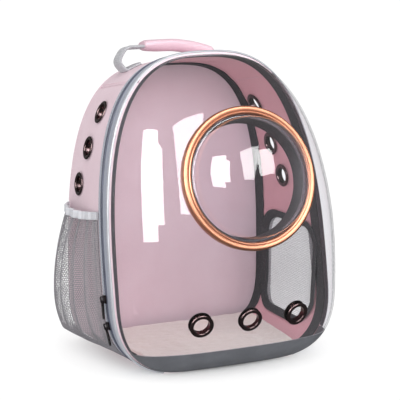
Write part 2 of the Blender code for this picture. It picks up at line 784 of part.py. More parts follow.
def build_zip():
    """Two sliders low on the left, each with a pull that hangs from a bridge."""
    behind = sum(ZIP_COIL) / 2
    for name, height in zip(("upper", "lower"), SLIDERS_Z):
        place = place_at(height, 0.0, True)
        for _ in range(3):
            place = place_at(height, behind / depth(place), True)
        outward, backward, along = gusset_frame(place, behind)
        up = along if along.z > 0 else -along
        aside = outward.cross(up)
        if aside.dot(backward) < 0:
            aside = -aside
        seat = skin(place, behind, COIL_HIGH + GAP)

        def local(v, a, n):
            return seat + up * v + aside * a + outward * n

        def prism(title, corners, half_wide, finish, origin=(0, 0, 0)):
            rings = [[local(v, a, n) for v, n in corners] for a in (-half_wide, half_wide)]
            return rings_to_mesh(title, rings, finish, origin=origin)

        long, base = SLIDER_LONG / 2, SLIDER_BASE
        slider = prism(f"zip_slider_{name}", [
            (-long, 0.0), (long, 0.0), (long, base * 0.6), (long - EDGE_CUT, base),
            (-long + EDGE_CUT, base), (-long, base * 0.6),
        ], SLIDER_WIDE / 2, "gunmetal")
        foot, leg, roof = BRIDGE_HALF, BRIDGE_LEG, BRIDGE_ROOF
        bridge = hide(prism(f"bridge {name}", [
            (-foot, base / 2), (-foot, BRIDGE_HIGH - EDGE_CUT), (-foot + EDGE_CUT, BRIDGE_HIGH),
            (foot - EDGE_CUT, BRIDGE_HIGH), (foot, BRIDGE_HIGH - EDGE_CUT), (foot, base / 2),
            (foot - leg, base / 2), (foot - leg, BRIDGE_HIGH - roof),
            (-foot + leg, BRIDGE_HIGH - roof), (-foot + leg, base / 2),
        ], BRIDGE_WIDE / 2, None))
        combine(slider, bridge, "UNION")
        pivot = local(-PIVOT_DOWN, 0.0, PIVOT_HIGH)
        half, wide = PULL_THICK / 2, PULL_WIDE / 2
        outline = [
            (half, -wide * 0.9), (half, wide * 0.9), (-PULL_HOLE, wide),
            (-PULL_LONG + PULL_TIP, wide * 0.8), (-PULL_LONG, wide * 0.5),
            (-PULL_LONG, -wide * 0.5), (-PULL_LONG + PULL_TIP, -wide * 0.8), (-PULL_HOLE, -wide),
        ]
        rings = [
            [pivot + up * v + aside * a + outward * n for v, a in outline] for n in (-half, half)
        ]
        pull = rings_to_mesh(f"zip_pull_{name}", rings, "gunmetal", origin=pivot)
        slot = BRIDGE_WIDE / 2 + GAP
        corners = [(-half, -slot), (-half, slot), (-PULL_HOLE, slot), (-PULL_HOLE, -slot)]
        rings = [
            [pivot + up * v + aside * a + outward * n for v, a in corners]
            for n in (-PULL_THICK, PULL_THICK)
        ]
        combine(pull, hide(rings_to_mesh(f"pull slot {name}", rings, None)))


def build_straps():
    """Two plain shoulder straps on the back: padded above, webbing below, a fastened buckle between."""
    back = BACK_Y + WALL + GAP
    for name, side in (("left", -1), ("right", 1)):
        x = side * STRAP_X
        low_x = side * (STRAP_X + STRAP_SPREAD)
        seat = back + STRAP_THICK / 2
        upper = [
            (x, seat, STRAP_TOP), (x, seat + STRAP_OUT / 20, STRAP_TOP - STRAP_SEWN),
            (x + side * STRAP_DRIFT / 3, seat + STRAP_OUT * 0.75, STRAP_TOP - STRAP_LIFTS),
            (x + side * STRAP_DRIFT, seat + STRAP_OUT * 0.72, STRAP_END),
        ]
        path = soften(upper, STRAP_SEWN, 6)
        strap(f"strap_pad_{name}", path, (1, 0, 0), STRAP_WIDE, STRAP_THICK, "pink", STRAP_ROUND)
        end = Vector(path[-1])
        down = (end - path[-2]).normalized()
        buckle = [end + down * GAP, end + down * (GAP + BUCKLE_LONG)]
        wide = WEBBING_WIDE + BUCKLE_WIDER
        strap(f"strap_buckle_{name}", buckle, (1, 0, 0), wide, BUCKLE_THICK, "charcoal", EDGE_CUT)
        seat = back + WEBBING_THICK / 2
        lower = [
            end + down * (BUCKLE_LONG + 2 * GAP),
            end + down * (BUCKLE_LONG + 2 * GAP + WEBBING_SLACK),
            (low_x, seat + WEBBING_SLACK, WEBBING_LANDS),
            (low_x, seat, WEBBING_SEWN[0]),
            (low_x, seat, WEBBING_SEWN[1]),
        ]
        path = soften(lower, WEBBING_SLACK)
        strap(f"strap_webbing_{name}", path, (1, 0, 0), WEBBING_WIDE, WEBBING_THICK, "grey")


def main():
    for old in list(bpy.data.objects):
        bpy.data.objects.remove(old, do_unlink=True)
    left, right = build_gusset()
    build_rim()
    build_front()
    build_sides(left, right)
    build_pocket()
    build_handle()
    build_zip()
    build_straps()


main()
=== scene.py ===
"""The looks of the bubble pet carrier backpack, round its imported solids. Metres, +Z up, front to -Y."""

import math

import bmesh
import bpy
import numpy as np
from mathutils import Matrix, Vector


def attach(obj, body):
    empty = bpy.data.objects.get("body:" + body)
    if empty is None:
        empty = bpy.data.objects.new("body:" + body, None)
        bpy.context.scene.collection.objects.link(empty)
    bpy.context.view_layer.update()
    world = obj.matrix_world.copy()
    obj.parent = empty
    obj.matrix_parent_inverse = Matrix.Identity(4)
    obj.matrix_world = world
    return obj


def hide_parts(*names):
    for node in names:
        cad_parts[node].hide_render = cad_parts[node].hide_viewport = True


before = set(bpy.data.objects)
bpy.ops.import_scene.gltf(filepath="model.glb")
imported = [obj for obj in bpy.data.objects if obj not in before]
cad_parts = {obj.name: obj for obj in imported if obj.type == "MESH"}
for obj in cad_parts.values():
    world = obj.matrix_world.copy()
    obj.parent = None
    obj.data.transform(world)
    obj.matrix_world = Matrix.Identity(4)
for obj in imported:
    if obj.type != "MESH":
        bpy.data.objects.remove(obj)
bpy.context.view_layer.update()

# Body, the same sizes that the solids have
HEIGHT = 0.4225
HALF_WIDTH = 0.1625
RIM_Y = -0.105
RIM_LEAN = 0.186
BACK_Y = 0.106
WALL = 0.003
GAP = 0.0005
FRONT = dict(half=HALF_WIDTH, top=HEIGHT, widest=0.104, flat=0.050, arch=2.82, corner=2.8)
BACK = dict(half=0.154, top=0.396, widest=0.083, flat=0.110, arch=3.1, corner=2.6)
SHELL_EDGE = dict(FRONT, half=0.160, top=0.420)

# Places along the outline: 0 base middle, 1 end of the flat, 2 widest, 3 top middle, then on down the left
TOP_SEAM = 2.65
BASE_SEAM = 1.30
BAND_END = 1.20

# Clear front, its lip, the ring and the bubble
SHELL_WALL = 0.002
BOW = 0.108
BOW_HEIGHT = 0.207
BOW_ABOVE = 2.03
BOW_BELOW = 1.66
BOW_SQUARE = 2.8
LIP_TOP = 0.036
RING_AT = np.array([0.0, -0.166, 0.272])
RING_TILT = math.radians(17)
RING_AXIS = np.array([0.0, -math.cos(RING_TILT), math.sin(RING_TILT)])
RING_OUTER = 0.0955
RING_INNER = 0.0845
RING_DEPTH = 0.026
COLLAR_BACK = 0.078
COLLAR_DEPTH = 0.020
BUBBLE_RADIUS = 0.0815
BUBBLE_HEIGHT = 0.063
BUBBLE_SKIRT = 0.006

# Eyelets
EYELET_OUTER = 0.0165
EYELET_BORE = 0.0112
EYELET_TUBE = 0.0118
FLANGE = 0.0014
BORE_LONG = 0.03
SHELL_EYELETS_X = (-0.071, 0.0, 0.071)
SHELL_EYELET_Z = 0.080
SHELL_SAGS = (0.0022, 0.0010, 0.0022)  # how far each curved wall falls away below the flange's edge
SIDE_SAG = 0.0010
LEFT_EYELETS = (
    # height, share of the way from the rim to the back
    (0.339, 0.546),
    (0.289, 0.635),
    (0.236, 0.758),
)
RIGHT_EYELETS = (
    (0.335, 0.692),
    (0.277, 0.621),
    (0.232, 0.507),
)

# Bands round the rim, from front to back behind the rim
PIPING = (-0.0010, 0.0060)
PIPING_HIGH = 0.0032
ZIP_TAPE = (0.0064, 0.0222)
ZIP_COIL = (0.0226, 0.0300)
RIM_TRIM = (0.0304, 0.0400)
TAPE_THICK = 0.0012
TAPE_SOFT = 0.0004
TRIM_HEM = 0.0022
ZIP_HEM = 0.0020
COIL_HIGH = 0.0024
COIL_PITCH = 0.0022
INNER_TAPE = (0.0010, 0.0220)
INNER_THICK = 0.0010
SEAM_TAPE_WIDE = 0.0220

# Mat, window and pocket
MAT_THICK = 0.008
MAT_FRONT = 0.024
MAT_BACK = 0.014
MAT_END = 1.30
WINDOW_Y = (-0.060, 0.070)
WINDOW_Z = (0.029, 0.168)
WINDOW_CORNER = 0.030
WINDOW_BAND = 0.008
WIDER_BEHIND = 0.009
POCKET_Z = (0.008, 0.205)
POCKET_WIDE = 0.150
POCKET_FRONT = 0.0425
POCKET_BACK = 0.004
POCKET_BULGE = 0.034
POCKET_FULLEST = (0.70, 0.46)
POCKET_FOLDS = 6
FOLD_DEEP = 0.0026
ELASTIC_HIGH = 0.011
ELASTIC_THICK = 0.0026
ELASTIC_HEM = 0.0022
ELASTIC_SAG = 0.005
NET_CELL = 0.0030
NET_THREAD = 0.0010

# Handle and straps
HANDLE_Y = 0.070
HANDLE_HALF = 0.080
HANDLE_TOP = 0.430
HANDLE_TAB = 0.022
HANDLE_FOLD = 0.012
HANDLE_LEVEL = -0.010
HANDLE_DROOP = 0.0127
TAB_SEAT = 0.0007
WEBBING_WIDE = 0.025
WEBBING_THICK = 0.0022
SLEEVE_HALF = 0.052
SLEEVE_WIDE = 0.034
SLEEVE_THICK = 0.013
STRAP_X = 0.062
STRAP_SPREAD = 0.034
STRAP_WIDE = 0.055
STRAP_THICK = 0.010
STRAP_TOP = 0.345
STRAP_END = 0.150
STRAP_OUT = 0.040
BUCKLE_LONG = 0.024

# Thread
STITCH_PITCH = 0.0042
STITCH_LONG = 0.0030
THREAD = 0.00035

# How finely the surfaces are made
PANEL_STEP = 0.0035
BAND_STEP = 0.0030
SHARP = math.radians(42)
FILLING_FRAMES = 20

# Camera, from the photo's outline and ring
CAMERA_AT = Vector((-0.8878, -1.8768, 0.6322))
CAMERA_AIM = Vector((-0.045, -0.105, 0.235))
CAMERA_LENS = 135.3
SENSOR = 36.0

# Stage: how bright the white surroundings are as light, to the camera, and in gloss
WHITE = (1.0, 1.0, 1.0, 1.0)
ROOM_LIGHT = 0.75
WHITE_SEEN = 1.05
ROOM_MIRRORED = 0.22
TABLE_MIRRORED = 0.18
TABLE_HALF = 6.0
SHADOW_FADES = (0.09, 0.23)
LAMPS = (
    # name, place, aim, size, power
    ("key softbox", (-0.4, -2.0, 1.2), (0, 0, 0.2), (0.9, 1.2), 19),
    ("fill softbox", (1.4, -1.5, 0.9), (0, 0, 0.2), (0.9, 1.2), 11),
    ("top softbox", (0.0, -0.1, 1.9), (0, 0, 0), (1.6, 1.6), 6),
)
SHELL_CARDS = (
    # name, (x, z) of the highlight's corners on the clear front, distance, strength
    ("tall highlight", ((-0.1219, 0.3322), (-0.1073, 0.3328), (-0.1261, 0.196), (-0.141, 0.1943)), 1.4, 16.0),
    ("slanted highlight", (
        (-0.0895, 0.3384), (-0.0458, 0.3533), (-0.0805, 0.2287), (-0.0975, 0.2312),
    ), 1.4, 14.0),
    ("table sheen", (
        (-0.152, 0.112), (-0.125, 0.108), (-0.06, 0.112), (0.004, 0.128), (0.105, 0.121), (0.125, 0.050),
        (-0.135, 0.050),
    ), 0.35, 1.3),
)
BUBBLE_CARDS = (
    # name, (turn, lift) of the highlight's corners on the bubble, distance, strength
    ("left bubble highlight", ((156.6, 58.3), (159.4, 41.7), (188.2, 41.7), (184.6, 53.7)), 1.2, 16.0),
    ("right bubble highlight", ((127.7, 25.4), (85.3, 21.3), (302.3, 2.3), (194.6, 13.0)), 1.2, 16.0),
)


def linear(code):
    """An sRGB hex colour as the linear colour that a shader takes."""
    parts = [int(code[i:i + 2], 16) / 255 for i in (1, 3, 5)]
    bent = [p / 12.92 if p <= 0.04045 else ((p + 0.055) / 1.055) ** 2.4 for p in parts]
    return (*bent, 1.0)


def add(tree, kind, inputs=None, **settings):
    """Adds a shader node with its settings. An input takes a value, or a socket to link."""
    made = tree.nodes.new("ShaderNode" + kind)
    for key, value in settings.items():
        setattr(made, key, value)
    for key, value in (inputs or {}).items():
        if isinstance(value, bpy.types.NodeSocket):
            tree.links.new(value, made.inputs[key])
        else:
            made.inputs[key].default_value = value
    return made


def start_finish(name, surface):
    """A new material with one surface shader, whose even settings are on its own sockets."""
    material = bpy.data.materials.new(name)
    material.use_nodes = True
    shader = material.node_tree.nodes["Principled BSDF"]
    for key, value in surface.items():
        shader.inputs[key].default_value = value
    return material, material.node_tree, shader


def blotches(tree, light, dark, size, strength=1.0):
    """Colour that drifts between two tones over a given length, as dye and handling leave it."""
    where = add(tree, "TexCoord").outputs["Object"]
    drift = add(tree, "TexNoise", {"Vector": where, "Scale": 1 / size, "Detail": 3.0, "Roughness": 0.6})
    spread = add(tree, "MapRange", {
        "Value": drift.outputs[0], "From Min": 0.3, "From Max": 0.7, "To Min": 0.0, "To Max": strength,
    })
    mixed = add(tree, "Mix", {0: spread.outputs[0], 6: linear(light), 7: linear(dark)}, data_type="RGBA")
    return mixed.outputs[2]


def leatherette(name, light, dark, roughness):
    """Polyurethane leather: knit, coated and pressed with a pebble grain that softens its shine."""
    material, tree, shader = start_finish(name, {
        "Roughness": roughness, "IOR": 1.48, "Coat Weight": 0.06, "Coat Roughness": 0.35,
    })
    grain_size = 0.0014  # the real pebbles are about 0.8 mm, drawn coarser to show
    tone = blotches(tree, light, dark, 0.05, 0.6)
    where = add(tree, "TexCoord").outputs["Object"]
    pebble = add(tree, "TexVoronoi", {"Vector": where, "Scale": 1 / grain_size}, feature="DISTANCE_TO_EDGE")
    # painted shade: the colour falls to 0.9 of itself along the valleys between the pebbles
    painted_crease_shade = add(tree, "MapRange", {
        "Value": pebble.outputs[0], "From Max": 0.12, "To Min": 0.90, "To Max": 1.0,
    })
    shaded = add(tree, "Mix", {0: 1.0, 6: tone, 7: painted_crease_shade.outputs[0]}, data_type="RGBA",
                 blend_type="MULTIPLY")
    tree.links.new(shaded.outputs[2], shader.inputs["Base Color"])
    pressed = add(tree, "Bump", {"Height": pebble.outputs[0], "Strength": 0.35, "Distance": 0.0002})
    tree.links.new(pressed.outputs[0], shader.inputs["Normal"])
    return material


def woven(name, light, dark, thread, roughness=0.75, sheen=0.2):
    """Woven polyester: crossing threads stand up as ribs, and the colour is painted light on the ribs and
    dark in the gaps between them, as painted highlight and shade.

    The third part of run is the distance from the tape's edge; near that edge the colour is darkened, as
    painted shade where the strips meet.
    """
    material, tree, shader = start_finish(name, {
        "Roughness": roughness, "Sheen Weight": sheen, "Sheen Roughness": 0.4, "IOR": 1.5,
    })
    wave = 0.314 / thread  # one wave of the texture is 0.314 of its unit long
    run = add(tree, "Attribute", attribute_name="run").outputs["Vector"]
    ribs = add(tree, "TexWave", {"Vector": run, "Scale": wave, "Distortion": 0.3}, bands_direction="X")
    picks = add(tree, "TexWave", {"Vector": run, "Scale": wave, "Distortion": 0.3}, bands_direction="Y")
    weave = add(tree, "Math", {0: ribs.outputs["Fac"], 1: picks.outputs["Fac"]}, operation="ADD")
    half = add(tree, "Math", {0: weave.outputs[0], 1: 0.5}, operation="MULTIPLY")
    # painted highlight and shade: the ribs take the light tone and the gaps the dark one
    tone = add(tree, "Mix", {0: half.outputs[0], 6: linear(dark), 7: linear(light)}, data_type="RGBA")
    from_edge = add(tree, "SeparateXYZ", {0: run}).outputs["Z"]
    # painted shade: the colour falls to 0.16 of itself within about a millimetre of the tape's edges
    painted_edge_shade = add(tree, "MapRange", {
        "Value": from_edge, "From Min": 0.0004, "From Max": 0.0016, "To Min": 0.16,
    })
    shaded = add(tree, "Mix", {0: 1.0, 6: tone.outputs[2], 7: painted_edge_shade.outputs[0]}, data_type="RGBA",
                 blend_type="MULTIPLY")
    tree.links.new(shaded.outputs[2], shader.inputs["Base Color"])
    raised = add(tree, "Bump", {"Height": half.outputs[0], "Strength": 0.5, "Distance": 0.0003})
    tree.links.new(raised.outputs[0], shader.inputs["Normal"])
    return material


def thread_finish(name, light, dark):
    """Twisted polyester thread: matt and slightly fuzzy, lighter where its twist comes up."""
    material, tree, shader = start_finish(name, {"Roughness": 0.65, "Sheen Weight": 0.3, "IOR": 1.5})
    tree.links.new(blotches(tree, light, dark, 0.002), shader.inputs["Base Color"])
    return material


def moulded(name, light, dark, roughness, grain):
    """Injection-moulded plastic from an etched tool: an even fine stipple over a slightly uneven tone."""
    material, tree, shader = start_finish(name, {"Roughness": roughness, "IOR": 1.53})
    where = add(tree, "TexCoord").outputs["Object"]
    stipple = add(tree, "TexNoise", {"Vector": where, "Scale": 1 / grain, "Detail": 2.0})
    tree.links.new(blotches(tree, light, dark, 0.03), shader.inputs["Base Color"])
    etched = add(tree, "Bump", {"Height": stipple.outputs[0], "Strength": 0.3, "Distance": 0.0002})
    tree.links.new(etched.outputs[0], shader.inputs["Normal"])
    return material


def plated(name, light, dark, roughness, brushed):
    """Plated metal: a thin bright coat over a polished casting, with faint hairlines from polishing."""
    material, tree, shader = start_finish(name, {"Metallic": 1.0, "Roughness": roughness})
    where = add(tree, "TexCoord").outputs["Object"]
    tree.links.new(blotches(tree, light, dark, 0.02), shader.inputs["Base Color"])
    hairs = add(tree, "TexNoise", {"Vector": where, "Scale": 1 / 0.0009, "Detail": 4.0})
    worn = add(tree, "MapRange", {
        "Value": hairs.outputs[0], "To Min": roughness - brushed, "To Max": roughness + brushed,
    })
    tree.links.new(worn.outputs[0], shader.inputs["Roughness"])
    return material


def clear_pet(name, tint, haze):
    """Clear thermoformed PET: it shows what lies behind, and mirrors the lights more towards its edges."""
    material, tree, shader = start_finish(name, {"Roughness": 0.5, "IOR": 1.55})
    tree.links.new(blotches(tree, "#F4F4F6", "#E6E7EA", 0.05), shader.inputs["Base Color"])
    end = tree.nodes["Material Output"]
    see = add(tree, "BsdfTransparent", {"Color": linear(tint)})
    where = add(tree, "TexCoord").outputs["Object"]
    smudges = add(tree, "TexNoise", {"Vector": where, "Scale": 1 / 0.04, "Detail": 3.0})
    wiped = add(tree, "MapRange", {
        "Value": smudges.outputs[0], "From Min": 0.35, "From Max": 0.75, "To Min": 0.015, "To Max": 0.06,
    })
    gloss = add(tree, "BsdfGlossy", {"Color": WHITE, "Roughness": wiped.outputs[0]})
    edge = add(tree, "Fresnel", {"IOR": 1.5})
    side = add(tree, "NewGeometry")
    outer = add(tree, "Math", {0: 1.0, 1: side.outputs["Backfacing"]}, operation="SUBTRACT")
    mirror = add(tree, "Math", {0: edge.outputs[0], 1: outer.outputs[0]}, operation="MULTIPLY")
    clear = add(tree, "MixShader", {0: mirror.outputs[0], 1: see.outputs[0], 2: gloss.outputs[0]})
    milky = add(tree, "MixShader", {0: haze, 1: clear.outputs[0], 2: shader.outputs[0]})
    tree.links.new(milky.outputs[0], end.inputs["Surface"])
    return material


def cut_edge(name, light, dark):
    """The trimmed edge of clear PET: sawn, so it scatters light and looks milky."""
    material, tree, shader = start_finish(name, {"Roughness": 0.35, "IOR": 1.55})
    tree.links.new(blotches(tree, light, dark, 0.01), shader.inputs["Base Color"])
    see = add(tree, "BsdfTransparent", {"Color": linear("#F0F1F4")})
    part = add(tree, "MixShader", {0: 0.55, 1: see.outputs[0], 2: shader.outputs[0]})
    tree.links.new(part.outputs[0], tree.nodes["Material Output"].inputs["Surface"])
    return material


def fleece(name, light, dark):
    """Brushed polyester fleece: a short dense pile that is soft at its edges and has no shine."""
    material, tree, shader = start_finish(name, {
        "Roughness": 0.95, "Sheen Weight": 0.6, "Sheen Roughness": 0.6, "IOR": 1.45,
    })
    where = add(tree, "TexCoord").outputs["Object"]
    pile = add(tree, "TexNoise", {"Vector": where, "Scale": 1 / 0.0025, "Detail": 4.0, "Roughness": 0.7})
    tree.links.new(blotches(tree, light, dark, 0.006), shader.inputs["Base Color"])
    tufts = add(tree, "Bump", {"Height": pile.outputs[0], "Strength": 0.8, "Distance": 0.001})
    tree.links.new(tufts.outputs[0], shader.inputs["Normal"])
    return material


SLEEVE_PINK = leatherette("embossed PU leather, rolled", "#DDBCC8", "#D2AEBB", 0.58)
PINK = leatherette("pressed PU leather outside", "#EBD3DC", "#E2C6D0", 0.52)
# painted light: the lining is the outside leather in a deeper pink, which stands for light bounced round the
# pink cabin
BOUNCE_TINTED_LINING = leatherette("pressed PU leather lining, tinted with painted bounce light", "#EBB8C0", "#E1ACB5", 0.55)
BAND_GREY = woven("woven polyester rim tape", "#A2A6B2", "#868A98", 0.0016)
ZIP_GREY = woven("woven polyester zip tape", "#9A9FAF", "#7E8393", 0.0016)
COIL = moulded("nylon zip coil", "#6D7288", "#585C6E", 0.4, 0.001)
PIPING_WHITE = moulded("extruded PVC piping", "#B4B6BC", "#A2A4AB", 0.35, 0.0015)
NAVY = woven("woven nylon binding", "#1D1A26", "#0F0D14", 0.0015, 0.85, 0.0)
CLEAR = clear_pet("clear thermoformed PET", "#FBFBFC", 0.004)
BUBBLE_CLEAR = clear_pet("clear blown PET bubble", "#FAFAFC", 0.006)
CUT_EDGE = cut_edge("sawn PET edge", "#D8DADF", "#B9BCC4")
# painted shade: a dark line on the shell's rim stands for the shade in the gap against the bands
RIM_GAP_SHADE = moulded("painted shade along the PET's rim", "#3C3D46", "#2A2B33", 0.5, 0.001)
LIP_GREY = moulded("moulded ABS lip", "#62646A", "#54565C", 0.5, 0.0012)
CHARCOAL = moulded("moulded acetal buckle", "#2E2E34", "#26262B", 0.4, 0.001)
ROSE = plated("rose gold plated zinc", "#A5735B", "#966550", 0.44, 0.05)
GUNMETAL = plated("gunmetal plated brass", "#5B4C4C", "#463A3B", 0.24, 0.05)
BLACK_METAL = plated("black plated zinc", "#3A3335", "#262122", 0.28, 0.05)
COLLAR_DARK = moulded("moulded rubber gasket", "#2A2228", "#1C171B", 0.6, 0.0012)
FLEECE = fleece("brushed polyester fleece", "#EEE5DD", "#E1D6CC")
POCKET_NET = thread_finish("warp-knitted grey net", "#87858B", "#6A686E")
WINDOW_NET = thread_finish("warp-knitted pale net", "#B2B2B6", "#98989D")
ELASTIC = woven("knitted elastic", "#D2D2D6", "#B4B4BA", 0.0020)
WEBBING = woven("woven nylon webbing", "#B9B9BC", "#94949A", 0.0022)
PINK_THREAD = thread_finish("pink sewing thread", "#E3C4CE", "#C9A4B0")
GREY_THREAD = thread_finish("grey sewing thread", "#D2D5DE", "#AEB2BE")


def unit(v):
    return v / np.maximum(np.linalg.norm(v, axis=-1, keepdims=True), 1e-12)


def outline(place, shape):
    """(x, z) on an outline. Places over 3, or under 0, are on the left."""
    place = np.asarray(place, float)
    mirrored = (place > 3) | (place < 0)
    p = np.where(place > 3, 6 - place, np.abs(place))
    low = np.clip(p - 1, 0, 1) * math.pi / 2
    high = np.clip(p - 2, 0, 1) * math.pi / 2
    reach = shape["half"] - shape["flat"]
    rise = shape["top"] - shape["widest"]
    x = np.where(p <= 1, shape["flat"] * p, np.where(
        p <= 2, shape["flat"] + reach * np.sin(low) ** (2 / shape["corner"]),
        shape["half"] * np.maximum(np.cos(high), 0) ** (2 / shape["arch"]),
    ))
    z = np.where(p <= 1, 0.0, np.where(
        p <= 2, shape["widest"] * (1 - np.maximum(np.cos(low), 0) ** (2 / shape["corner"])),
        shape["widest"] + rise * np.sin(high) ** (2 / shape["arch"]),
    ))
    return np.where(mirrored, -x, x), z


def rim(place):
    x, z = outline(place, FRONT)
    return np.stack([x, RIM_Y + RIM_LEAN * z, z], -1)


def back(place):
    x, z = outline(place, BACK)
    return np.stack([x, np.full_like(x, BACK_Y - GAP), z], -1)


def depth(place):
    return np.linalg.norm(back(place) - rim(place), axis=-1)


def on_gusset(place, behind):
    start = rim(place)
    return start + (back(place) - start) * (behind / depth(place))[..., None]


def gusset_out(place, behind):
    """The gusset's outward direction."""
    step = 0.01
    along = on_gusset(place + step, behind) - on_gusset(place - step, behind)
    outward = unit(np.cross(unit(back(place) - rim(place)), along))
    middle = np.array([0.0, 0.0, HEIGHT / 2])
    facing = ((on_gusset(place, behind) - middle) * outward).sum(-1)
    return outward * np.where(facing < 0, -1.0, 1.0)[..., None]


def skin(place, behind, out):
    place, behind, out = np.broadcast_arrays(place, behind, out)
    return on_gusset(place, behind) + gusset_out(place, behind) * out[..., None]


def lengths(points):
    """How far along a path each of its points lies."""
    return np.concatenate([[0.0], np.cumsum(np.linalg.norm(np.diff(points, axis=0), axis=1))])


def rim_run(first, last, step, extra=()):
    """Places at even steps along the rim, and at extra distances from both ends."""
    fine = np.linspace(first, last, 4000)
    arc = lengths(rim(fine))
    near = np.array([0.0, *extra])
    even = np.linspace(0, arc[-1], round(arc[-1] / step) + 1)
    return np.interp(np.unique(np.concatenate([even, near, arc[-1] - near])), arc, fine)


def place_at(height, share, left=False):
    """The place in the side where the gusset has this height. It works on arrays."""
    low, high = np.full(np.shape(height), 1.0), np.full(np.shape(height), 3.0)
    for _ in range(40):
        middle = (low + high) / 2
        z = rim(middle)[..., 2] * (1 - share) + back(middle)[..., 2] * share
        low, high = np.where(z < height, middle, low), np.where(z < height, high, middle)
    return 6 - low if left else low


def side_spot(y, z):
    """(place, behind) of the point of the right side with this y and z."""
    share = 0.5
    for _ in range(8):
        place = place_at(z, share)
        start = rim(place)[..., 1]
        share = (y - start) / (BACK_Y - GAP - start)
    return place, share * depth(place)


def half_width(z, shape):
    rise = np.clip((z - shape["widest"]) / (shape["top"] - shape["widest"]), 0, 1)
    drop = np.clip(1 - z / shape["widest"], 0, 1)
    upper = shape["half"] * (1 - rise ** shape["arch"]) ** (1 / shape["arch"])
    corner = (1 - drop ** shape["corner"]) ** (1 / shape["corner"])
    return np.where(z >= shape["widest"], upper, shape["flat"] + (shape["half"] - shape["flat"]) * corner)


def shell_at(x, z):
    """The clear front's outer surface: level sections are rounded squares."""
    x, z = np.broadcast_arrays(np.asarray(x, float), np.asarray(z, float))
    above = z > BOW_HEIGHT
    rise = np.where(above, (z - BOW_HEIGHT) / (SHELL_EDGE["top"] - BOW_HEIGHT), (BOW_HEIGHT - z) / BOW_HEIGHT)
    power = np.where(above, BOW_ABOVE, BOW_BELOW)
    bow = BOW * np.maximum(1 - np.clip(rise, 0, 1) ** power, 0) ** (1 / power)
    across = np.clip(np.abs(x) / np.maximum(half_width(z, SHELL_EDGE), 1e-6), 0, 1)
    forward = bow * (1 - across ** BOW_SQUARE) ** (1 / BOW_SQUARE)
    return np.stack([x, RIM_Y + RIM_LEAN * z - GAP - forward, z], -1)


def shell_out(x, z):
    step = 0.001
    slope_x = (shell_at(x + step, z) - shell_at(x - step, z))[..., 1] / (2 * step)
    slope_z = (shell_at(x, z + step) - shell_at(x, z - step))[..., 1] / (2 * step)
    return unit(np.stack([slope_x, -np.ones_like(slope_x), slope_z], -1))


def soft_noise(points, size, seed):
    """Smooth values from about -1 to 1 that change over a given length."""
    chance = np.random.RandomState(seed)
    total = np.zeros(points.shape[:-1])
    for _ in range(9):
        way = unit(chance.normal(size=3)) * chance.uniform(0.6, 1.6)
        total += np.sin(points @ way * (2 * math.pi / size) + chance.uniform(0, 2 * math.pi))
    return total / 4.5


def grid_faces(rows, columns, loop_rows=False, loop_columns=False):
    """Four-sided faces over a grid of points, closed on itself where asked."""
    i = np.arange(rows if loop_rows else rows - 1)[:, None]
    j = np.arange(columns if loop_columns else columns - 1)[None]
    i2, j2 = (i + 1) % rows, (j + 1) % columns
    corners = [i * columns + j, i * columns + j2, i2 * columns + j2, i2 * columns + j]
    return np.stack(corners, -1).reshape(-1, 4)


def laid_run(points):
    """How far along and across each point of a grid lies, which a weave follows."""
    along = np.linalg.norm(np.diff(points, axis=0), axis=-1).mean(1)
    across = np.linalg.norm(np.diff(points, axis=1), axis=-1).mean(0)
    u = np.concatenate([[0.0], np.cumsum(along)])
    v = np.concatenate([[0.0], np.cumsum(across)])
    u, v = np.meshgrid(u, v, indexing="ij")
    return np.stack([u, v, np.ones_like(u)], -1)


def make_piece(name, points, faces, materials, run=None, which=None, sharp=SHARP):
    """A mesh object with its faces turned outwards. which gives each face's material."""
    mesh = bpy.data.meshes.new(name)
    mesh.from_pydata(np.asarray(points).reshape(-1, 3).tolist(), [], [list(map(int, f)) for f in faces])
    if run is not None:
        layer = mesh.attributes.new("run", "FLOAT_VECTOR", "POINT")
        layer.data.foreach_set("vector", np.asarray(run, np.float32).ravel())
    for material in materials if isinstance(materials, (list, tuple)) else [materials]:
        mesh.materials.append(material)
    if which is not None:
        mesh.polygons.foreach_set("material_index", np.asarray(which, np.int32))
    mesh.calc_loop_triangles()
    triangles = np.zeros(len(mesh.loop_triangles) * 3, np.int32)
    mesh.loop_triangles.foreach_get("vertices", triangles)
    corners = np.asarray(points).reshape(-1, 3)[triangles.reshape(-1, 3)]
    if np.einsum("ij,ij->i", corners[:, 0], np.cross(corners[:, 1], corners[:, 2])).sum() < 0:
        mesh.flip_normals()
    mesh.shade_smooth()
    mesh.set_sharp_from_angle(angle=sharp)
    piece = bpy.data.objects.new(name, mesh)
    bpy.context.scene.collection.objects.link(piece)
    return piece


def wall(name, outer, inner, materials, loop=False, edge=0):
    """A closed wall between two grids of points. edge is the material of its cut edges."""
    rows, columns = outer.shape[:2]
    shift = rows * columns
    sheet = grid_faces(rows, columns, loop)
    cells = sheet.reshape(-1, columns - 1, 4)
    strips = [cells[:, 0][:, [0, 3]], cells[:, -1][:, [2, 1]]]
    if not loop:
        strips += [cells[0][:, [1, 0]], cells[-1][:, [3, 2]]]
    ends = [np.stack([s[:, 0], s[:, 1], s[:, 1] + shift, s[:, 0] + shift], -1) for s in strips]
    faces = np.concatenate([sheet, sheet[:, ::-1] + shift, *ends])
    which = np.zeros(len(faces), int)
    which[2 * len(sheet):] = edge
    run = laid_run(outer).reshape(-1, 3)
    points = np.concatenate([outer.reshape(-1, 3), inner.reshape(-1, 3)])
    return make_piece(name, points, faces, materials, np.concatenate([run, run]), which)


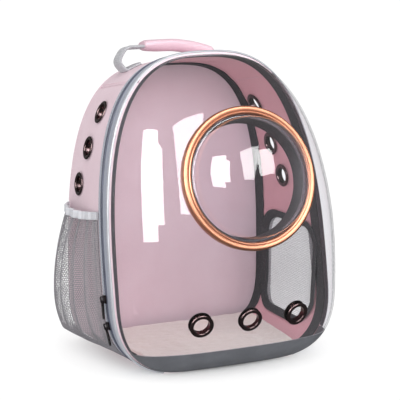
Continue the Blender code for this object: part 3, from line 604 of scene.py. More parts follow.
def sweep(name, rings, materials, loop=False, sharp=SHARP):
    """A solid through closed sections, all of one count of points."""
    count, sides = rings.shape[:2]
    faces = grid_faces(count, sides, loop, True).tolist()
    if not loop:
        faces.append(list(range(sides))[::-1])
        faces.append(list(range((count - 1) * sides, count * sides)))
    return make_piece(name, rings, faces, materials, laid_run(rings).reshape(-1, 3), sharp=sharp)


def weld(piece, reach=1e-6):
    """Joins points that lie on each other, such as those on a turned piece's axis."""
    made = bmesh.new()
    made.from_mesh(piece.data)
    bmesh.ops.remove_doubles(made, verts=made.verts, dist=reach)
    made.to_mesh(piece.data)
    made.free()
    return piece


def turned(name, profile, centre, axis, material, segments=72, ridges=None):
    """A closed profile of (radius, height) turned about an axis. ridges raises every second copy."""
    axis = unit(np.asarray(axis, float))
    side = unit(np.cross(axis, [0.0, 0.0, 1.0]))
    rise = np.cross(side, axis)
    turn = np.arange(segments) * 2 * math.pi / segments
    radius, height = np.array(profile).T
    radius = np.repeat(radius[None], segments, 0)
    if ridges is not None:
        radius = radius + ridges * (np.arange(segments) % 2)[:, None]
    way = side * np.cos(turn)[:, None] + rise * np.sin(turn)[:, None]
    rings = np.asarray(centre) + way[:, None] * radius[..., None] + axis * height[None, :, None]
    return weld(sweep(name, rings, material, loop=True))


def arc(centre, radius, start, end, steps):
    """(radius, height) points of a profile's rounded corner. Angles are in degrees from outward to up."""
    turn = np.radians(np.linspace(start, end, steps + 1))
    return [(centre[0] + radius * math.cos(t), centre[1] + radius * math.sin(t)) for t in turn]


def slab(front, end, low, high, soft):
    """A flat strip's section as (behind, out), with its two upper edges rounded."""
    section = [(front, low), (end, low)]
    section += [(end - soft + p, high - soft + q) for p, q in arc((0, 0), soft, 0, 90, 3)]
    section += [(end - 0.0016, high), (front + 0.0016, high)]
    section += [(front + soft + p, high - soft + q) for p, q in arc((0, 0), soft, 90, 180, 3)]
    return section


def band(name, run, section, material, loop=False):
    """A strip that follows the gusset, with one section all along."""
    behind, out = np.array(section).T
    piece = sweep(name, skin(run[:, None], behind[None], out[None]), material, loop)
    # the distance from the strip's edge, along which woven() paints shade
    from_edge = np.tile(np.minimum(behind - behind.min(), behind.max() - behind), len(run))
    laid = np.zeros(len(piece.data.vertices) * 3, np.float32)
    piece.data.attributes["run"].data.foreach_get("vector", laid)
    laid[2::3] = from_edge
    piece.data.attributes["run"].data.foreach_set("vector", laid)
    return piece


def tubes(paths, outs, radius, sides=6):
    """Points and faces of many short round threads. paths and outs are grids of points and directions."""
    count, steps = paths.shape[:2]
    ahead = unit(np.gradient(paths, axis=1))
    beside = unit(np.cross(ahead, outs))
    turn = np.arange(sides) * 2 * math.pi / sides
    thin = np.ones(steps)
    thin[[0, -1]] = 0.35
    size = radius * thin[None, :, None, None]
    rings = paths[:, :, None] + size * (
        outs[:, :, None] * np.cos(turn)[:, None] + beside[:, :, None] * np.sin(turn)[:, None])
    sheet = grid_faces(steps, sides, False, True)
    shift = (np.arange(count) * steps * sides)[:, None, None]
    faces = (sheet[None] + shift).reshape(-1, 4).tolist()
    for k in range(count):
        first = k * steps * sides
        faces.append([first + j for j in range(sides)][::-1])
        faces.append([first + (steps - 1) * sides + j for j in range(sides)])
    return rings.reshape(-1, 3), faces


def stitching(name, path, outs, material, pitch=STITCH_PITCH, long=STITCH_LONG):
    """A row of stitches: each is one short thread that rises from the cloth and goes back in."""
    arc_length = lengths(path)
    count = max(int(arc_length[-1] / pitch), 1)
    start = (np.arange(count) + 0.5) * arc_length[-1] / count - long / 2
    spots = start[:, None] + np.linspace(0, long, 5)[None]
    paths = np.stack([np.interp(spots, arc_length, path[:, k]) for k in range(3)], -1)
    lift = np.stack([np.interp(spots, arc_length, outs[:, k]) for k in range(3)], -1)
    lift = unit(lift)
    hump = THREAD * np.array([-0.2, 0.6, 0.8, 0.6, -0.2])
    points, faces = tubes(paths + lift * hump[None, :, None], lift, THREAD)
    return make_piece(name, points, faces, material)


def dress(piece, slot, *nodes, body="carrier"):
    """Rides a piece on its body, and lets it stand for the solids that it covers."""
    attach(piece, body)
    if nodes:
        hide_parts(*nodes)
    return piece


def settle(piece, sharp=SHARP):
    """Fixes what the modifiers make into the mesh, and marks its sharp edges."""
    bpy.context.view_layer.update()
    graph = bpy.context.evaluated_depsgraph_get()
    mesh = bpy.data.meshes.new_from_object(piece.evaluated_get(graph))
    piece.modifiers.clear()
    piece.data = mesh
    mesh.shade_smooth()
    mesh.set_sharp_from_angle(angle=sharp)
    return piece


def cut(piece, tools):
    """Cuts holes with hidden tools, then removes the tools."""
    for tool in tools:
        step = piece.modifiers.new("cut", "BOOLEAN")
        step.object = tool
        step.operation = "DIFFERENCE"
        step.solver = "EXACT"
    settle(piece)
    for tool in tools:
        bpy.data.objects.remove(tool)
    return piece


def bore_tool(centre, axis):
    """A hidden rod that cuts an eyelet's hole."""
    radius, half = EYELET_TUBE + GAP, BORE_LONG / 2
    profile = [(0, -half), (radius, -half), (radius, half), (0, half)]
    return turned("bore", profile, centre, axis, BOUNCE_TINTED_LINING, 64)


def eyelet(name, centre, outward, thickness, sag):
    """A rolled metal eyelet: a domed flange in front, a tube through the wall, a flat flange behind."""
    front = sag + GAP
    end = -thickness - sag - GAP
    wide = (EYELET_OUTER - EYELET_BORE) / 2
    crown = [
        (EYELET_BORE + wide + wide * math.cos(t), front + FLANGE * 1.1 * math.sin(t))
        for t in np.radians(np.linspace(0, 180, 13))
    ]
    profile = [
        (EYELET_TUBE, front), *crown, (EYELET_BORE, end - FLANGE * 0.6), (EYELET_BORE + 0.0006, end - FLANGE),
        (EYELET_OUTER - 0.0008, end - FLANGE), (EYELET_OUTER, end - FLANGE * 0.5), (EYELET_OUTER, end),
        (EYELET_TUBE, end),
    ]
    return dress(turned(name, profile, centre, outward, GUNMETAL), "metal_gun", name)


def side_eyelet_spots(left):
    for height, share in LEFT_EYELETS if left else RIGHT_EYELETS:
        place = place_at(height, share, left)
        behind = share * depth(place)
        yield on_gusset(place, behind), gusset_out(place, behind)


def window_outline(grow, steps=8):
    """(y, z) points round the side window, grown or shrunk."""
    radius = WINDOW_CORNER + grow
    points = []
    for y, z, start in (
        (WINDOW_Y[1] - WINDOW_CORNER, WINDOW_Z[1] - WINDOW_CORNER, 0),
        (WINDOW_Y[0] + WINDOW_CORNER, WINDOW_Z[1] - WINDOW_CORNER, 90),
        (WINDOW_Y[0] + WINDOW_CORNER, WINDOW_Z[0] + WINDOW_CORNER, 180),
        (WINDOW_Y[1] - WINDOW_CORNER, WINDOW_Z[0] + WINDOW_CORNER, 270),
    ):
        points += arc((y, z), radius, start, start + 90, steps)
    return np.array(points)


def window_tool():
    loop = window_outline(0.0)
    rings = [np.column_stack([np.full(len(loop), x), loop]) for x in (HALF_WIDTH / 4, 2 * HALF_WIDTH)]
    return sweep("window", np.array(rings), BOUNCE_TINTED_LINING)


def panel(name, first, last, tools=(), most=1.0):
    """One panel of the gusset. It gives a little between its seams, and sinks into them."""
    run = rim_run(first, last, PANEL_STEP, (0.0006, 0.0014, 0.0024))
    shares = np.unique(np.concatenate([np.linspace(0, 1, 30), [0.004, 0.012, 0.988, 0.996]]))
    place, share = np.meshgrid(run, shares, indexing="ij")
    behind = share * depth(place)
    reach = lengths(rim(run))
    from_seam = np.minimum(reach, reach[-1] - reach)[:, None]
    sink = 0.0011 * np.exp(-(from_seam / 0.0020) ** 2)
    give = 0.00045 * soft_noise(on_gusset(place, behind), 0.075, 3) * np.sin(math.pi * share) ** 0.5
    out = np.minimum(give, most) - sink
    piece = wall(name, skin(place, behind, out), skin(place, behind, -WALL + 0 * out), [PINK, BOUNCE_TINTED_LINING])
    faces = len(grid_faces(*place.shape))
    which = np.zeros(len(piece.data.polygons), np.int32)
    which[faces:2 * faces] = 1
    piece.data.polygons.foreach_set("material_index", which)
    if tools:
        cut(piece, tools)
    return dress(piece, "leather_pink", name)


def build_gusset():
    """The pink walls: base, two sides, top and the back."""
    base = BASE_SEAM - 0.0015
    panel("bottom_panel", -base, base, most=0.0)
    panel("top_panel", TOP_SEAM + 0.0012, 6 - TOP_SEAM - 0.0012)
    for name, left in (("left", True), ("right", False)):
        tools = [bore_tool(at, out) for at, out in side_eyelet_spots(left)]
        ends = [BASE_SEAM + 0.0015, TOP_SEAM - 0.0012]
        if not left:
            tools.append(window_tool())
        panel("side_panel_" + name, *([6 - e for e in ends] if left else ends), tools)
        for i, (at, out) in enumerate(side_eyelet_spots(left)):
            eyelet(f"side_eyelet_{name}_{i + 1}", at, out, WALL, SIDE_SAG)
    heights = BACK["top"] * np.sin(np.linspace(0, math.pi / 2, 70)) * 0.99999
    share = np.sin(np.linspace(-math.pi / 2, math.pi / 2, 60))
    z, s = np.meshgrid(heights, share, indexing="ij")
    x = half_width(z, BACK) * s
    inner = np.stack([x, np.full_like(x, BACK_Y), z], -1)
    outer = inner + np.array([0.0, WALL, 0.0])
    piece = wall("back_panel", outer, inner, [PINK, BOUNCE_TINTED_LINING])
    dress(piece, "leather_pink", "back_panel")


def seam_rows():
    """Stitches on both sides of the two seams between the top and the sides."""
    beside = 0.0032
    for place, name in ((TOP_SEAM, "right"), (6 - TOP_SEAM, "left")):
        for step, which in ((-1, "low"), (1, "high")):
            arc_table = rim_run(place, place + step * 0.3, 0.0004)
            spot = np.interp(beside, lengths(rim(arc_table)), arc_table)
            behind = np.linspace(RIM_TRIM[1] + 0.003, depth(np.array(spot)) - 0.003, 60)
            path = skin(spot, behind, 0.0002)
            outs = gusset_out(np.full(60, spot), behind)
            row = stitching(f"top_seam_thread_{name}_{which}", path, outs, PINK_THREAD)
            dress(row, "leather_pink")


def build_rim():
    """Bands outside and inside the rim. The outer ones end at the base, which lies flat."""
    run = rim_run(BAND_END, 6 - BAND_END, BAND_STEP)
    middle, radius = sum(PIPING) / 2, (PIPING[1] - PIPING[0]) / 2
    round_cord = [(PIPING[0], GAP), (PIPING[1], GAP)]
    round_cord += [(middle + radius * math.cos(t), GAP + (PIPING_HIGH - GAP) * math.sin(t) ** 0.8)
                   for t in np.radians(np.arange(20, 161, 20))]
    dress(band("rim_piping", run, round_cord, PIPING_WHITE), "piping_white", "rim_piping")
    for name, edges, finish in (("zip_tape", ZIP_TAPE, ZIP_GREY), ("rim_trim", RIM_TRIM, BAND_GREY)):
        dress(band(name, run, slab(*edges, GAP, TAPE_THICK, TAPE_SOFT), finish), "fabric_grey", name)
    for name, behind in (
        ("trim_thread_front", RIM_TRIM[0] + TRIM_HEM), ("trim_thread_back", RIM_TRIM[1] - TRIM_HEM),
        ("zip_thread", ZIP_TAPE[0] + ZIP_HEM),
    ):
        outs = gusset_out(run, np.full(len(run), behind))
        dress(stitching(name, skin(run, behind, TAPE_THICK), outs, GREY_THREAD), "fabric_grey")
    dress(zip_teeth(), "fabric_grey", "zip_coil")
    inside = -WALL - GAP
    loop = rim_run(0.0, 6.0, BAND_STEP)[:-1]
    flat = slab(*INNER_TAPE, inside - INNER_THICK, inside, TAPE_SOFT)
    lined = [(behind, 2 * inside - out - INNER_THICK) for behind, out in flat]
    dress(band("inner_rim_tape", loop, lined, NAVY, True), "fabric_navy", "inner_rim_tape")
    deep = depth(loop)[:, None]
    section = np.array(slab(-SEAM_TAPE_WIDE, 0.0, inside - INNER_THICK, inside, 0.0003))
    wander = 0.0016 * soft_noise(rim(loop), 0.028, 8)[:, None] * (section[None, :, 0] < -0.5 * SEAM_TAPE_WIDE)
    behind = deep - GAP + section[None, :, 0] + wander
    out = 2 * inside - INNER_THICK - section[None, :, 1]
    piece = sweep("back_seam_tape", skin(loop[:, None], behind, out), NAVY, True)
    dress(piece, "fabric_navy", "back_seam_tape")


def zip_teeth():
    """The zip's coil: a low core with a tooth across it at every pitch."""
    run = rim_run(BAND_END, 6 - BAND_END, BAND_STEP)
    core = np.array(slab(*ZIP_COIL, GAP, GAP + 0.0006, 0.0002))
    rings = skin(run[:, None], core[None, :, 0], core[None, :, 1])
    points = [rings.reshape(-1, 3)]
    sides = len(core)
    faces = grid_faces(len(run), sides, False, True).tolist()
    faces += [list(range(sides))[::-1], [(len(run) - 1) * sides + j for j in range(sides)]]
    teeth = rim_run(BAND_END + 0.004, 6 - BAND_END - 0.004, COIL_PITCH)
    along = unit(np.gradient(rim(teeth), axis=0))
    low, high = GAP + 0.0005, COIL_HIGH
    inset = 0.0007
    corners = []
    for out, shrink, long in ((low, 0.0, 0.36), (high - 0.0005, 0.0, 0.36), (high, inset, 0.22)):
        for end, way in ((0, -1), (0, 1), (1, 1), (1, -1)):
            behind = ZIP_COIL[end] + (1 - 2 * end) * (0.0003 + shrink)
            corners.append(skin(teeth, behind, out) + along * way * long * COIL_PITCH)
    block = np.stack(corners, 1)
    first = len(rings.reshape(-1, 3))
    shape = [(3, 2, 1, 0), (8, 9, 10, 11)]
    shape += [(a + k, a + (k + 1) % 4, a + 4 + (k + 1) % 4, a + 4 + k) for a in (0, 4) for k in range(4)]
    shift = first + np.arange(len(teeth))[:, None, None] * 12
    faces += (np.array(shape)[None] + shift).reshape(-1, 4).tolist()
    points.append(block.reshape(-1, 3))
    return make_piece("zip_coil", np.concatenate(points), faces, COIL, sharp=math.radians(30))


def build_mat():
    """The fleece mat: its pile is uneven, and it thins towards a rounded edge."""
    run = rim_run(-MAT_END, MAT_END, 0.0025)
    share = np.linspace(0, 1, 76)
    place, share = np.meshgrid(run, share, indexing="ij")
    span = depth(place) - MAT_FRONT - MAT_BACK
    behind = MAT_FRONT + span * share
    reach = lengths(rim(run))
    from_end = np.minimum(reach, reach[-1] - reach)[:, None]
    from_edge = np.minimum(from_end, np.minimum(share, 1 - share) * span)
    round_off = np.sqrt(np.clip(1 - (1 - np.clip(from_edge / 0.006, 0, 1)) ** 2, 0, 1))
    spots = on_gusset(place, behind)
    pile = 0.0005 * soft_noise(spots, 0.009, 5) + 0.0007 * soft_noise(spots, 0.035, 6)
    seat = -WALL - GAP - 0.0003
    top = seat - MAT_THICK * (0.25 + 0.75 * round_off) - pile * round_off
    piece = wall("floor_mat", skin(place, behind, top), skin(place, behind, seat + 0 * top), FLEECE)
    dress(piece, "fleece_cream", "floor_mat")


def shell_edges():
    """Places round the rim for the clear front, with the two where the lip's top edge meets it."""
    cut_z = LIP_TOP + GAP / 2
    low, high = 1.0, 2.0
    for _ in range(50):
        middle = (low + high) / 2
        low, high = (middle, high) if outline(middle, SHELL_EDGE)[1] < cut_z else (low, middle)
    run = rim_run(0.0, 6.0, 0.0036)[:-1]
    return np.unique(np.concatenate([run, [low, 6 - low]])), cut_z


def build_shell():
    """The clear bowed front, from the ring out to the rim and down to the lip."""
    places, cut_z = shell_edges()
    edge = np.stack(outline(places, SHELL_EDGE), -1)
    centre = RING_AT[[0, 2]]
    way = unit(edge - centre)
    low, high = np.full(len(places), 0.05), np.full(len(places), 0.14)
    for _ in range(40):
        middle = (low + high) / 2
        spot = centre + way * middle[:, None]
        off = shell_at(spot[:, 0], spot[:, 1]) - RING_AT
        radius = np.linalg.norm(off - (off @ RING_AXIS)[:, None] * RING_AXIS, axis=1)
        within = radius < RING_OUTER - 0.0030
        low, high = np.where(within, middle, low), np.where(within, high, middle)
    start = centre + way * low[:, None]
    reach = np.where(edge[:, 1] < cut_z - 1e-6, (start[:, 1] - cut_z) / (start[:, 1] - edge[:, 1]), 1.0)
    share = np.sin(np.linspace(0, math.pi / 2, 46))[None, :, None] * reach[:, None, None]
    flat = start[:, None] + (edge - start)[:, None] * share
    outer = shell_at(flat[..., 0], flat[..., 1])
    inner = outer + inward(outer, reach < 1) * SHELL_WALL
    piece = wall("clear_shell", outer, inner, [CLEAR, CUT_EDGE, RIM_GAP_SHADE], loop=True, edge=1)
    edge_on(piece, outer, reach)
    spots = [(shell_at(x, SHELL_EYELET_Z), shell_out(x, SHELL_EYELET_Z)) for x in SHELL_EYELETS_X]
    cut(piece, [bore_tool(at, out) for at, out in spots])
    dress(piece, "plastic_clear", "clear_shell")
    for i, (at, out) in enumerate(spots):
        eyelet(f"shell_eyelet_{i + 1}", at, out, SHELL_WALL, SHELL_SAGS[i])


def edge_on(piece, outer, reach):
    """Gives the shell's rim a dark line of painted shade, for the gap where it meets the bands: the last few
    millimetres, outside and inside.
    """
    rows, columns = outer.shape[:2]
    which = np.zeros(len(piece.data.polygons), np.int32)
    piece.data.polygons.foreach_get("material_index", which)
    sheet = rows * (columns - 1)
    from_rim = np.linalg.norm(outer - outer[:, -1:], axis=-1)[:, 1:] < 0.0020
    from_rim &= (reach == 1)[:, None]
    near = from_rim.reshape(-1)
    which[:sheet][near] = 2
    which[sheet:2 * sheet][near] = 2
    which[2 * sheet + rows:][reach == 1] = 2
    piece.data.polygons.foreach_set("material_index", which)


def inward(outer, level=None):
    """The way into the cabin at each point of a fan. Its last points keep to their edge's plane."""
    around = np.roll(outer, -1, 0) - np.roll(outer, 1, 0)
    ahead = np.gradient(outer, axis=1)
    way = unit(np.cross(around, ahead))
    inside = np.array([0.0, RIM_Y, HEIGHT / 2])
    way *= np.where(((inside - outer) * way).sum(-1) < 0, -1.0, 1.0)[..., None]
    rim_normal = unit(np.array([0.0, 1.0, -RIM_LEAN]))
    plane = np.where(level[:, None], np.array([0.0, 0.0, 1.0]), rim_normal)
    last = way[:, -1]
    way[:, -1] = unit(last - plane * (last * plane).sum(-1, keepdims=True))
    return way


def build_lip():
    """The opaque lip below the clear front, with a rounded top edge."""
    heights = (LIP_TOP - GAP / 2) * (1 - np.cos(np.linspace(0, math.pi / 2, 16)))
    turn = np.linspace(-math.pi / 2, math.pi / 2, 130)
    z, turn = np.meshgrid(heights, turn, indexing="ij")
    x = half_width(z, SHELL_EDGE) * np.sin(turn)
    outer = shell_at(x, z)
    way = np.cross(np.gradient(outer, axis=0), np.gradient(outer, axis=1))
    way = unit(way)
    way *= np.where(way[..., 1] < 0, -1.0, 1.0)[..., None]
    rim_normal = unit(np.array([0.0, 1.0, -RIM_LEAN]))
    sides = way.copy()
    flat = sides - rim_normal * (sides * rim_normal).sum(-1, keepdims=True)
    for rows, columns in ((slice(None), 0), (slice(None), -1)):
        toward = flat[rows, columns]
        toward *= np.where(toward[:, 0] * outer[rows, columns][:, 0] > 0, -1.0, 1.0)[:, None]
        way[rows, columns] = unit(toward)
    way[0, 1:-1] = np.array([0.0, 0.0, 1.0])
    way[-1, :, 2] = 0.0
    inner = outer + unit(way) * SHELL_WALL
    piece = wall("front_lip", outer, inner, LIP_GREY)
    dress(piece, "plastic_charcoal", "front_lip")


def build_bubble():
    """The blown bubble, the plated ring round it, and the dark gasket inside the ring."""
    turn = np.linspace(0, math.pi / 2, 30)
    outer = [(BUBBLE_RADIUS * math.sin(t), BUBBLE_HEIGHT * math.cos(t)) for t in turn]
    inside = BUBBLE_RADIUS - SHELL_WALL
    low = BUBBLE_HEIGHT - SHELL_WALL
    inner = [(inside * math.sin(t), low * math.cos(t)) for t in turn[::-1]]
    wide = RING_INNER - GAP
    skirt = [(wide - 0.0008, -0.0002), (wide, -0.001), (wide, -BUBBLE_SKIRT), (inside, -BUBBLE_SKIRT)]
    dome = turned("bubble_dome", outer + skirt + inner, RING_AT, RING_AXIS, BUBBLE_CLEAR, 120)
    dress(dome, "plastic_clear", "bubble_dome")
    soft = 0.0030
    face = [(RING_INNER + 0.0034, -0.0003), (RING_INNER + 0.0040, -0.0009), (RING_INNER + 0.0046, -0.0003)]
    front = arc((RING_OUTER - soft, -soft), soft, 0, 90, 8)
    lead = arc((RING_INNER + soft, -soft), soft, 90, 180, 8)
    barrel = [(RING_OUTER - 0.0040, -0.0190), (RING_OUTER - 0.0012, -0.0130), (RING_OUTER, -0.007)]
    rear = -RING_DEPTH
    foot = [(RING_INNER, rear), (RING_OUTER - 0.0078, rear), (RING_OUTER - 0.0066, rear + 0.001)]
    profile = foot + barrel + front + face[::-1] + lead
    ridges = np.zeros(len(profile))
    ridges[len(foot):len(foot) + 2] = 0.0004
    ring = turned("bubble_ring", profile, RING_AT, RING_AXIS, ROSE, 360, ridges)
    dress(ring, "metal_rose", "bubble_ring")
    top = -BUBBLE_SKIRT - GAP
    deep = top - COLLAR_DEPTH
    profile = [
        (wide, top), (COLLAR_BACK + 0.0010, deep), (COLLAR_BACK - 0.0010, deep - 0.0008),
        (COLLAR_BACK - 0.0022, deep), (wide - 0.0035, top - 0.001), (wide - 0.0028, top),
    ]
    collar = turned("ring_collar", profile, RING_AT, RING_AXIS, COLLAR_DARK, 120)
    dress(collar, "fabric_navy", "ring_collar")


def net_cells(width, height, cell):
    """A field of six-sided cells over width by height: points in the plane, and each cell's corners."""
    side = cell / math.sqrt(3)
    faces, index, points = [], {}, []
    for row in range(int(height / (1.5 * side)) + 2):
        for column in range(int(width / cell) + 2):
            middle = ((column + 0.5 * (row % 2)) * cell, row * 1.5 * side)
            face = []
            for k in range(6):
                turn = math.radians(60 * k + 30)
                spot = (middle[0] + side * math.cos(turn), middle[1] + side * math.sin(turn))
                key = (round(spot[0] / cell * 20), round(spot[1] / cell * 20))
                if key not in index:
                    index[key] = len(points)
                    points.append(spot)
                face.append(index[key])
            faces.append(face)
    return np.array(points), faces


def net_piece(name, points, cells, material):
    """Knitted net: a thread along every side of its cells. Points that no cell has are left out."""
    used = np.unique(np.concatenate(cells))
    order = np.zeros(len(points), int)
    order[used] = np.arange(len(used))
    piece = make_piece(name, points[used], [order[c] for c in cells], material)
    wires = piece.modifiers.new("threads", "WIREFRAME")
    wires.thickness = NET_THREAD
    wires.use_even_offset = False
    wires.use_replace = True
    settle(piece, math.radians(80))
    dress(piece, "fabric_net", name)


def build_window():
    """The net window in the right side, bound round its edge inside and outside."""
    lap = 0.0045
    size = (WINDOW_Y[1] - WINDOW_Y[0] + 2 * lap, WINDOW_Z[1] - WINDOW_Z[0] + 2 * lap)
    flat, cells = net_cells(*size, NET_CELL)
    flat = flat + np.array([WINDOW_Y[0] - lap, WINDOW_Z[0] - lap])
    middle = np.array([sum(WINDOW_Y) / 2, sum(WINDOW_Z) / 2])
    half = np.array(size) / 2
    off = np.abs(flat - middle) - (half - WINDOW_CORNER - lap)
    beyond = np.linalg.norm(np.maximum(off, 0), axis=1) > WINDOW_CORNER + lap
    cells = [c for c in cells if not beyond[c].any()]
    place, behind = side_spot(flat[:, 0], flat[:, 1])
    net_piece("window_mesh", skin(place, behind, -WALL - GAP - 0.0006), cells, WINDOW_NET)
    rear = -WALL - 2 * GAP
    rings = []
    for grow, out in (
        (WINDOW_BAND, rear - 0.0012), (WINDOW_BAND - 0.001, rear - 0.0021), (-0.0015, rear - 0.0021),
        (-0.0028, -WALL - 0.0012), (-0.0028, 0.0004), (-0.0018, 0.0012), (WINDOW_BAND - 0.002, 0.0012),
        (WINDOW_BAND - 0.001, 0.0004), (WINDOW_BAND - 0.001, -0.0004), (-0.0005, -0.0004),
        (-0.0005, rear - 0.0010),
    ):
        loop = window_outline(grow, 12)
        if grow > WINDOW_BAND / 2 and out < -WALL:
            half = (WINDOW_Y[1] - WINDOW_Y[0]) / 2
            loop[:, 0] += WIDER_BEHIND * np.clip((loop[:, 0] - WINDOW_Y[1] + half) / half, 0, 1)
        place, behind = side_spot(loop[:, 0], loop[:, 1])
        rings.append(skin(place, behind, out))
    piece = sweep("window_binding", np.stack(rings, 1), NAVY, loop=True)
    dress(piece, "fabric_navy", "window_binding")


def pocket_out(across, up):
    """How far the pocket stands off the wall. across and up run 0 to 1 over it."""
    back, high = POCKET_FULLEST
    swell = np.sin(math.pi * across ** (math.log(0.5) / math.log(back))) ** 0.7
    swell = swell * np.sin(math.pi * (0.15 + (0.5 - 0.15) / high * up)) ** 0.8
    gather = FOLD_DEEP * np.sin(2 * math.pi * POCKET_FOLDS * across) * np.sin(math.pi * across)
    fine = 0.0009 * np.sin(2 * math.pi * 2.6 * POCKET_FOLDS * across + 2.0) * np.sin(math.pi * across) * up
    rise = np.minimum(1.0, up * 5)
    return 2 * GAP + rise * (POCKET_BULGE * swell + (gather + fine) * (0.4 + 0.6 * up))


def pocket_at(across, up, out, lift=0.0):
    """A point of the pocket, out from its inner face and lifted along the outline."""
    across, up, out, lift = np.broadcast_arrays(
        *(np.asarray(v, float) for v in (across, up, out, lift)))
    heights = POCKET_Z[0] + (POCKET_Z[1] - POCKET_Z[0]) * up
    drop = ELASTIC_SAG * up ** 4 * np.sin(math.pi * across)
    place = place_at(heights - drop + lift, 0.0, True)
    end = depth(place) - POCKET_BACK
    behind = POCKET_FRONT + (end - POCKET_FRONT) * across
    return skin(place, behind, pocket_out(across, up) + out)


def build_pocket():
    """The net pocket, gathered into upright folds by the elastic along its top."""
    width, height = POCKET_WIDE, POCKET_Z[1] - POCKET_Z[0]
    flat, cells = net_cells(width, height, NET_CELL)
    share = np.clip(flat / np.array([width, height]), 0, 1)
    points = pocket_at(share[:, 0], share[:, 1], 0.0006)
    cells = [c for c in cells if np.ptp(share[c], 0).min() > 1e-4]
    net_piece("pocket_mesh", points, cells, POCKET_NET)
    across = np.linspace(0, 1, 150)
    section = slab(0.0, ELASTIC_HIGH, 0.0, ELASTIC_THICK, 0.0009)
    rings = []
    for lift, out in section:
        ribs = 0.00012 * np.sin(across * 2 * math.pi * 40) * (out > 0.0005)
        rings.append(pocket_at(across, 1.0, out + ribs, GAP + lift))
    piece = sweep("pocket_elastic", np.stack(rings, 1), ELASTIC)
    dress(piece, "fabric_grey", "pocket_elastic")
    for name, lift in (("low", ELASTIC_HEM), ("high", ELASTIC_HIGH - ELASTIC_HEM)):
        path = pocket_at(across, 1.0, ELASTIC_THICK + 0.0001, GAP + lift)
        outs = np.tile([-1.0, 0.0, 0.1], (len(across), 1))
        dress(stitching("elastic_thread_" + name, path, outs, GREY_THREAD), "fabric_grey")


def soften(path, radius, steps=6):
    """Rounds the corners of a path."""
    path = [np.array(p, float) for p in path]
    out = [path[0]]
    for before, corner, after in zip(path, path[1:], path[2:]):
        reach = min(radius, np.linalg.norm(corner - before) / 2, np.linalg.norm(after - corner) / 2)
        start = corner + unit(before - corner) * reach
        end = corner + unit(after - corner) * reach
        for t in np.linspace(0, 1, steps + 1):
            out.append(start * (1 - t) ** 2 + corner * 2 * t * (1 - t) + end * t ** 2)
    out.append(path[-1])
    return np.array(out)


def even_path(path, step):
    reach = lengths(path)
    marks = np.linspace(0, reach[-1], max(round(reach[-1] / step), 2) + 1)
    return np.stack([np.interp(marks, reach, path[:, k]) for k in range(3)], -1)


def path_ways(path, across):
    """The width's direction and the face's direction at each point of a path."""
    ahead = unit(np.gradient(path, axis=0))
    across = np.asarray(across, float)
    wide = unit(across - ahead * (ahead @ across)[:, None])
    return wide, unit(np.cross(ahead, wide))


def flat_strap(name, path, across, wide, thick, material):
    """Webbing along a path, with soft long edges."""
    ways, faces = path_ways(path, across)
    half, high = wide / 2, thick / 2
    section = np.array([
        (-half, -high * 0.4), (-half + high, -high), (half - high, -high), (half, -high * 0.4),
        (half, high * 0.4), (half - high, high), (-half + high, high), (-half, high * 0.4),
    ])
    rings = path[:, None] + ways[:, None] * section[None, :, :1] + faces[:, None] * section[None, :, 1:]
    return sweep(name, rings, material)


def pad_rings(path, across, wide, thick, ends):
    """Sections of a stuffed pad: a flat seam at each long edge, a crowned middle and rounded ends."""
    ways, faces = path_ways(path, across)
    reach = lengths(path)
    from_end = np.minimum(reach, reach[-1] - reach)
    narrow = np.sqrt(np.clip(1 - (1 - np.clip(from_end / ends, 0, 1)) ** 2, 0.05, 1))
    turn = np.linspace(0, 2 * math.pi, 40, endpoint=False)
    a = np.sign(np.cos(turn)) * np.abs(np.cos(turn)) ** 0.75
    b = np.sign(np.sin(turn)) * np.abs(np.sin(turn)) ** 0.85
    full = thick / 2 * np.clip(from_end / (ends * 0.8) + 0.25, 0, 1) ** 0.5
    sideways = ways[:, None] * (wide / 2 * a)[None, :, None] * (0.72 + 0.28 * narrow)[:, None, None]
    upward = faces[:, None] * b[None, :, None] * full[:, None, None]
    return path[:, None] + sideways + upward


def stuffed(name, rings, material, puff):
    """A sewn pad filled with foam: blown up a little as cloth, kept near its cut size, then smoothed."""
    piece = sweep(name, rings, material)
    remesh = piece.modifiers.new("even cloth", "REMESH")
    remesh.mode = "VOXEL"
    remesh.voxel_size = 0.004
    settle(piece)
    before = np.array([v.co for v in piece.data.vertices])
    cloth = piece.modifiers.new("filling", "CLOTH")
    cloth.settings.use_pressure = True
    cloth.settings.uniform_pressure_force = 4.0
    cloth.settings.effector_weights.gravity = 0.0
    cloth.settings.quality = 6
    scene = bpy.context.scene
    for step in range(1, FILLING_FRAMES + 1):
        scene.frame_set(step)
    graph = bpy.context.evaluated_depsgraph_get()
    blown = np.array([v.co for v in piece.evaluated_get(graph).data.vertices])
    scene.frame_set(1)
    piece.modifiers.clear()
    move = blown - before
    far = np.linalg.norm(move, axis=1, keepdims=True)
    move *= np.minimum(1.0, puff / np.maximum(far, 1e-9))
    piece.data.vertices.foreach_set("co", (before + move).astype(np.float32).ravel())
    smooth = piece.modifiers.new("even out", "SMOOTH")
    smooth.factor = 0.5
    smooth.iterations = 3
    finer = piece.modifiers.new("finer", "SUBSURF")
    finer.levels = finer.render_levels = 1
    settle(piece, math.radians(75))
    return piece


def top_height(x):
    """Height of the gusset's top at the handle."""
    top_y = RIM_Y + RIM_LEAN * HEIGHT
    share = (HANDLE_Y - top_y) / (BACK_Y - top_y)
    low, high = 2.0, 3.0
    for _ in range(40):
        middle = (low + high) / 2
        spot = rim(middle) * (1 - share) + back(middle) * share
        low, high = (middle, high) if spot[0] > abs(x) else (low, middle)
    return spot[2]


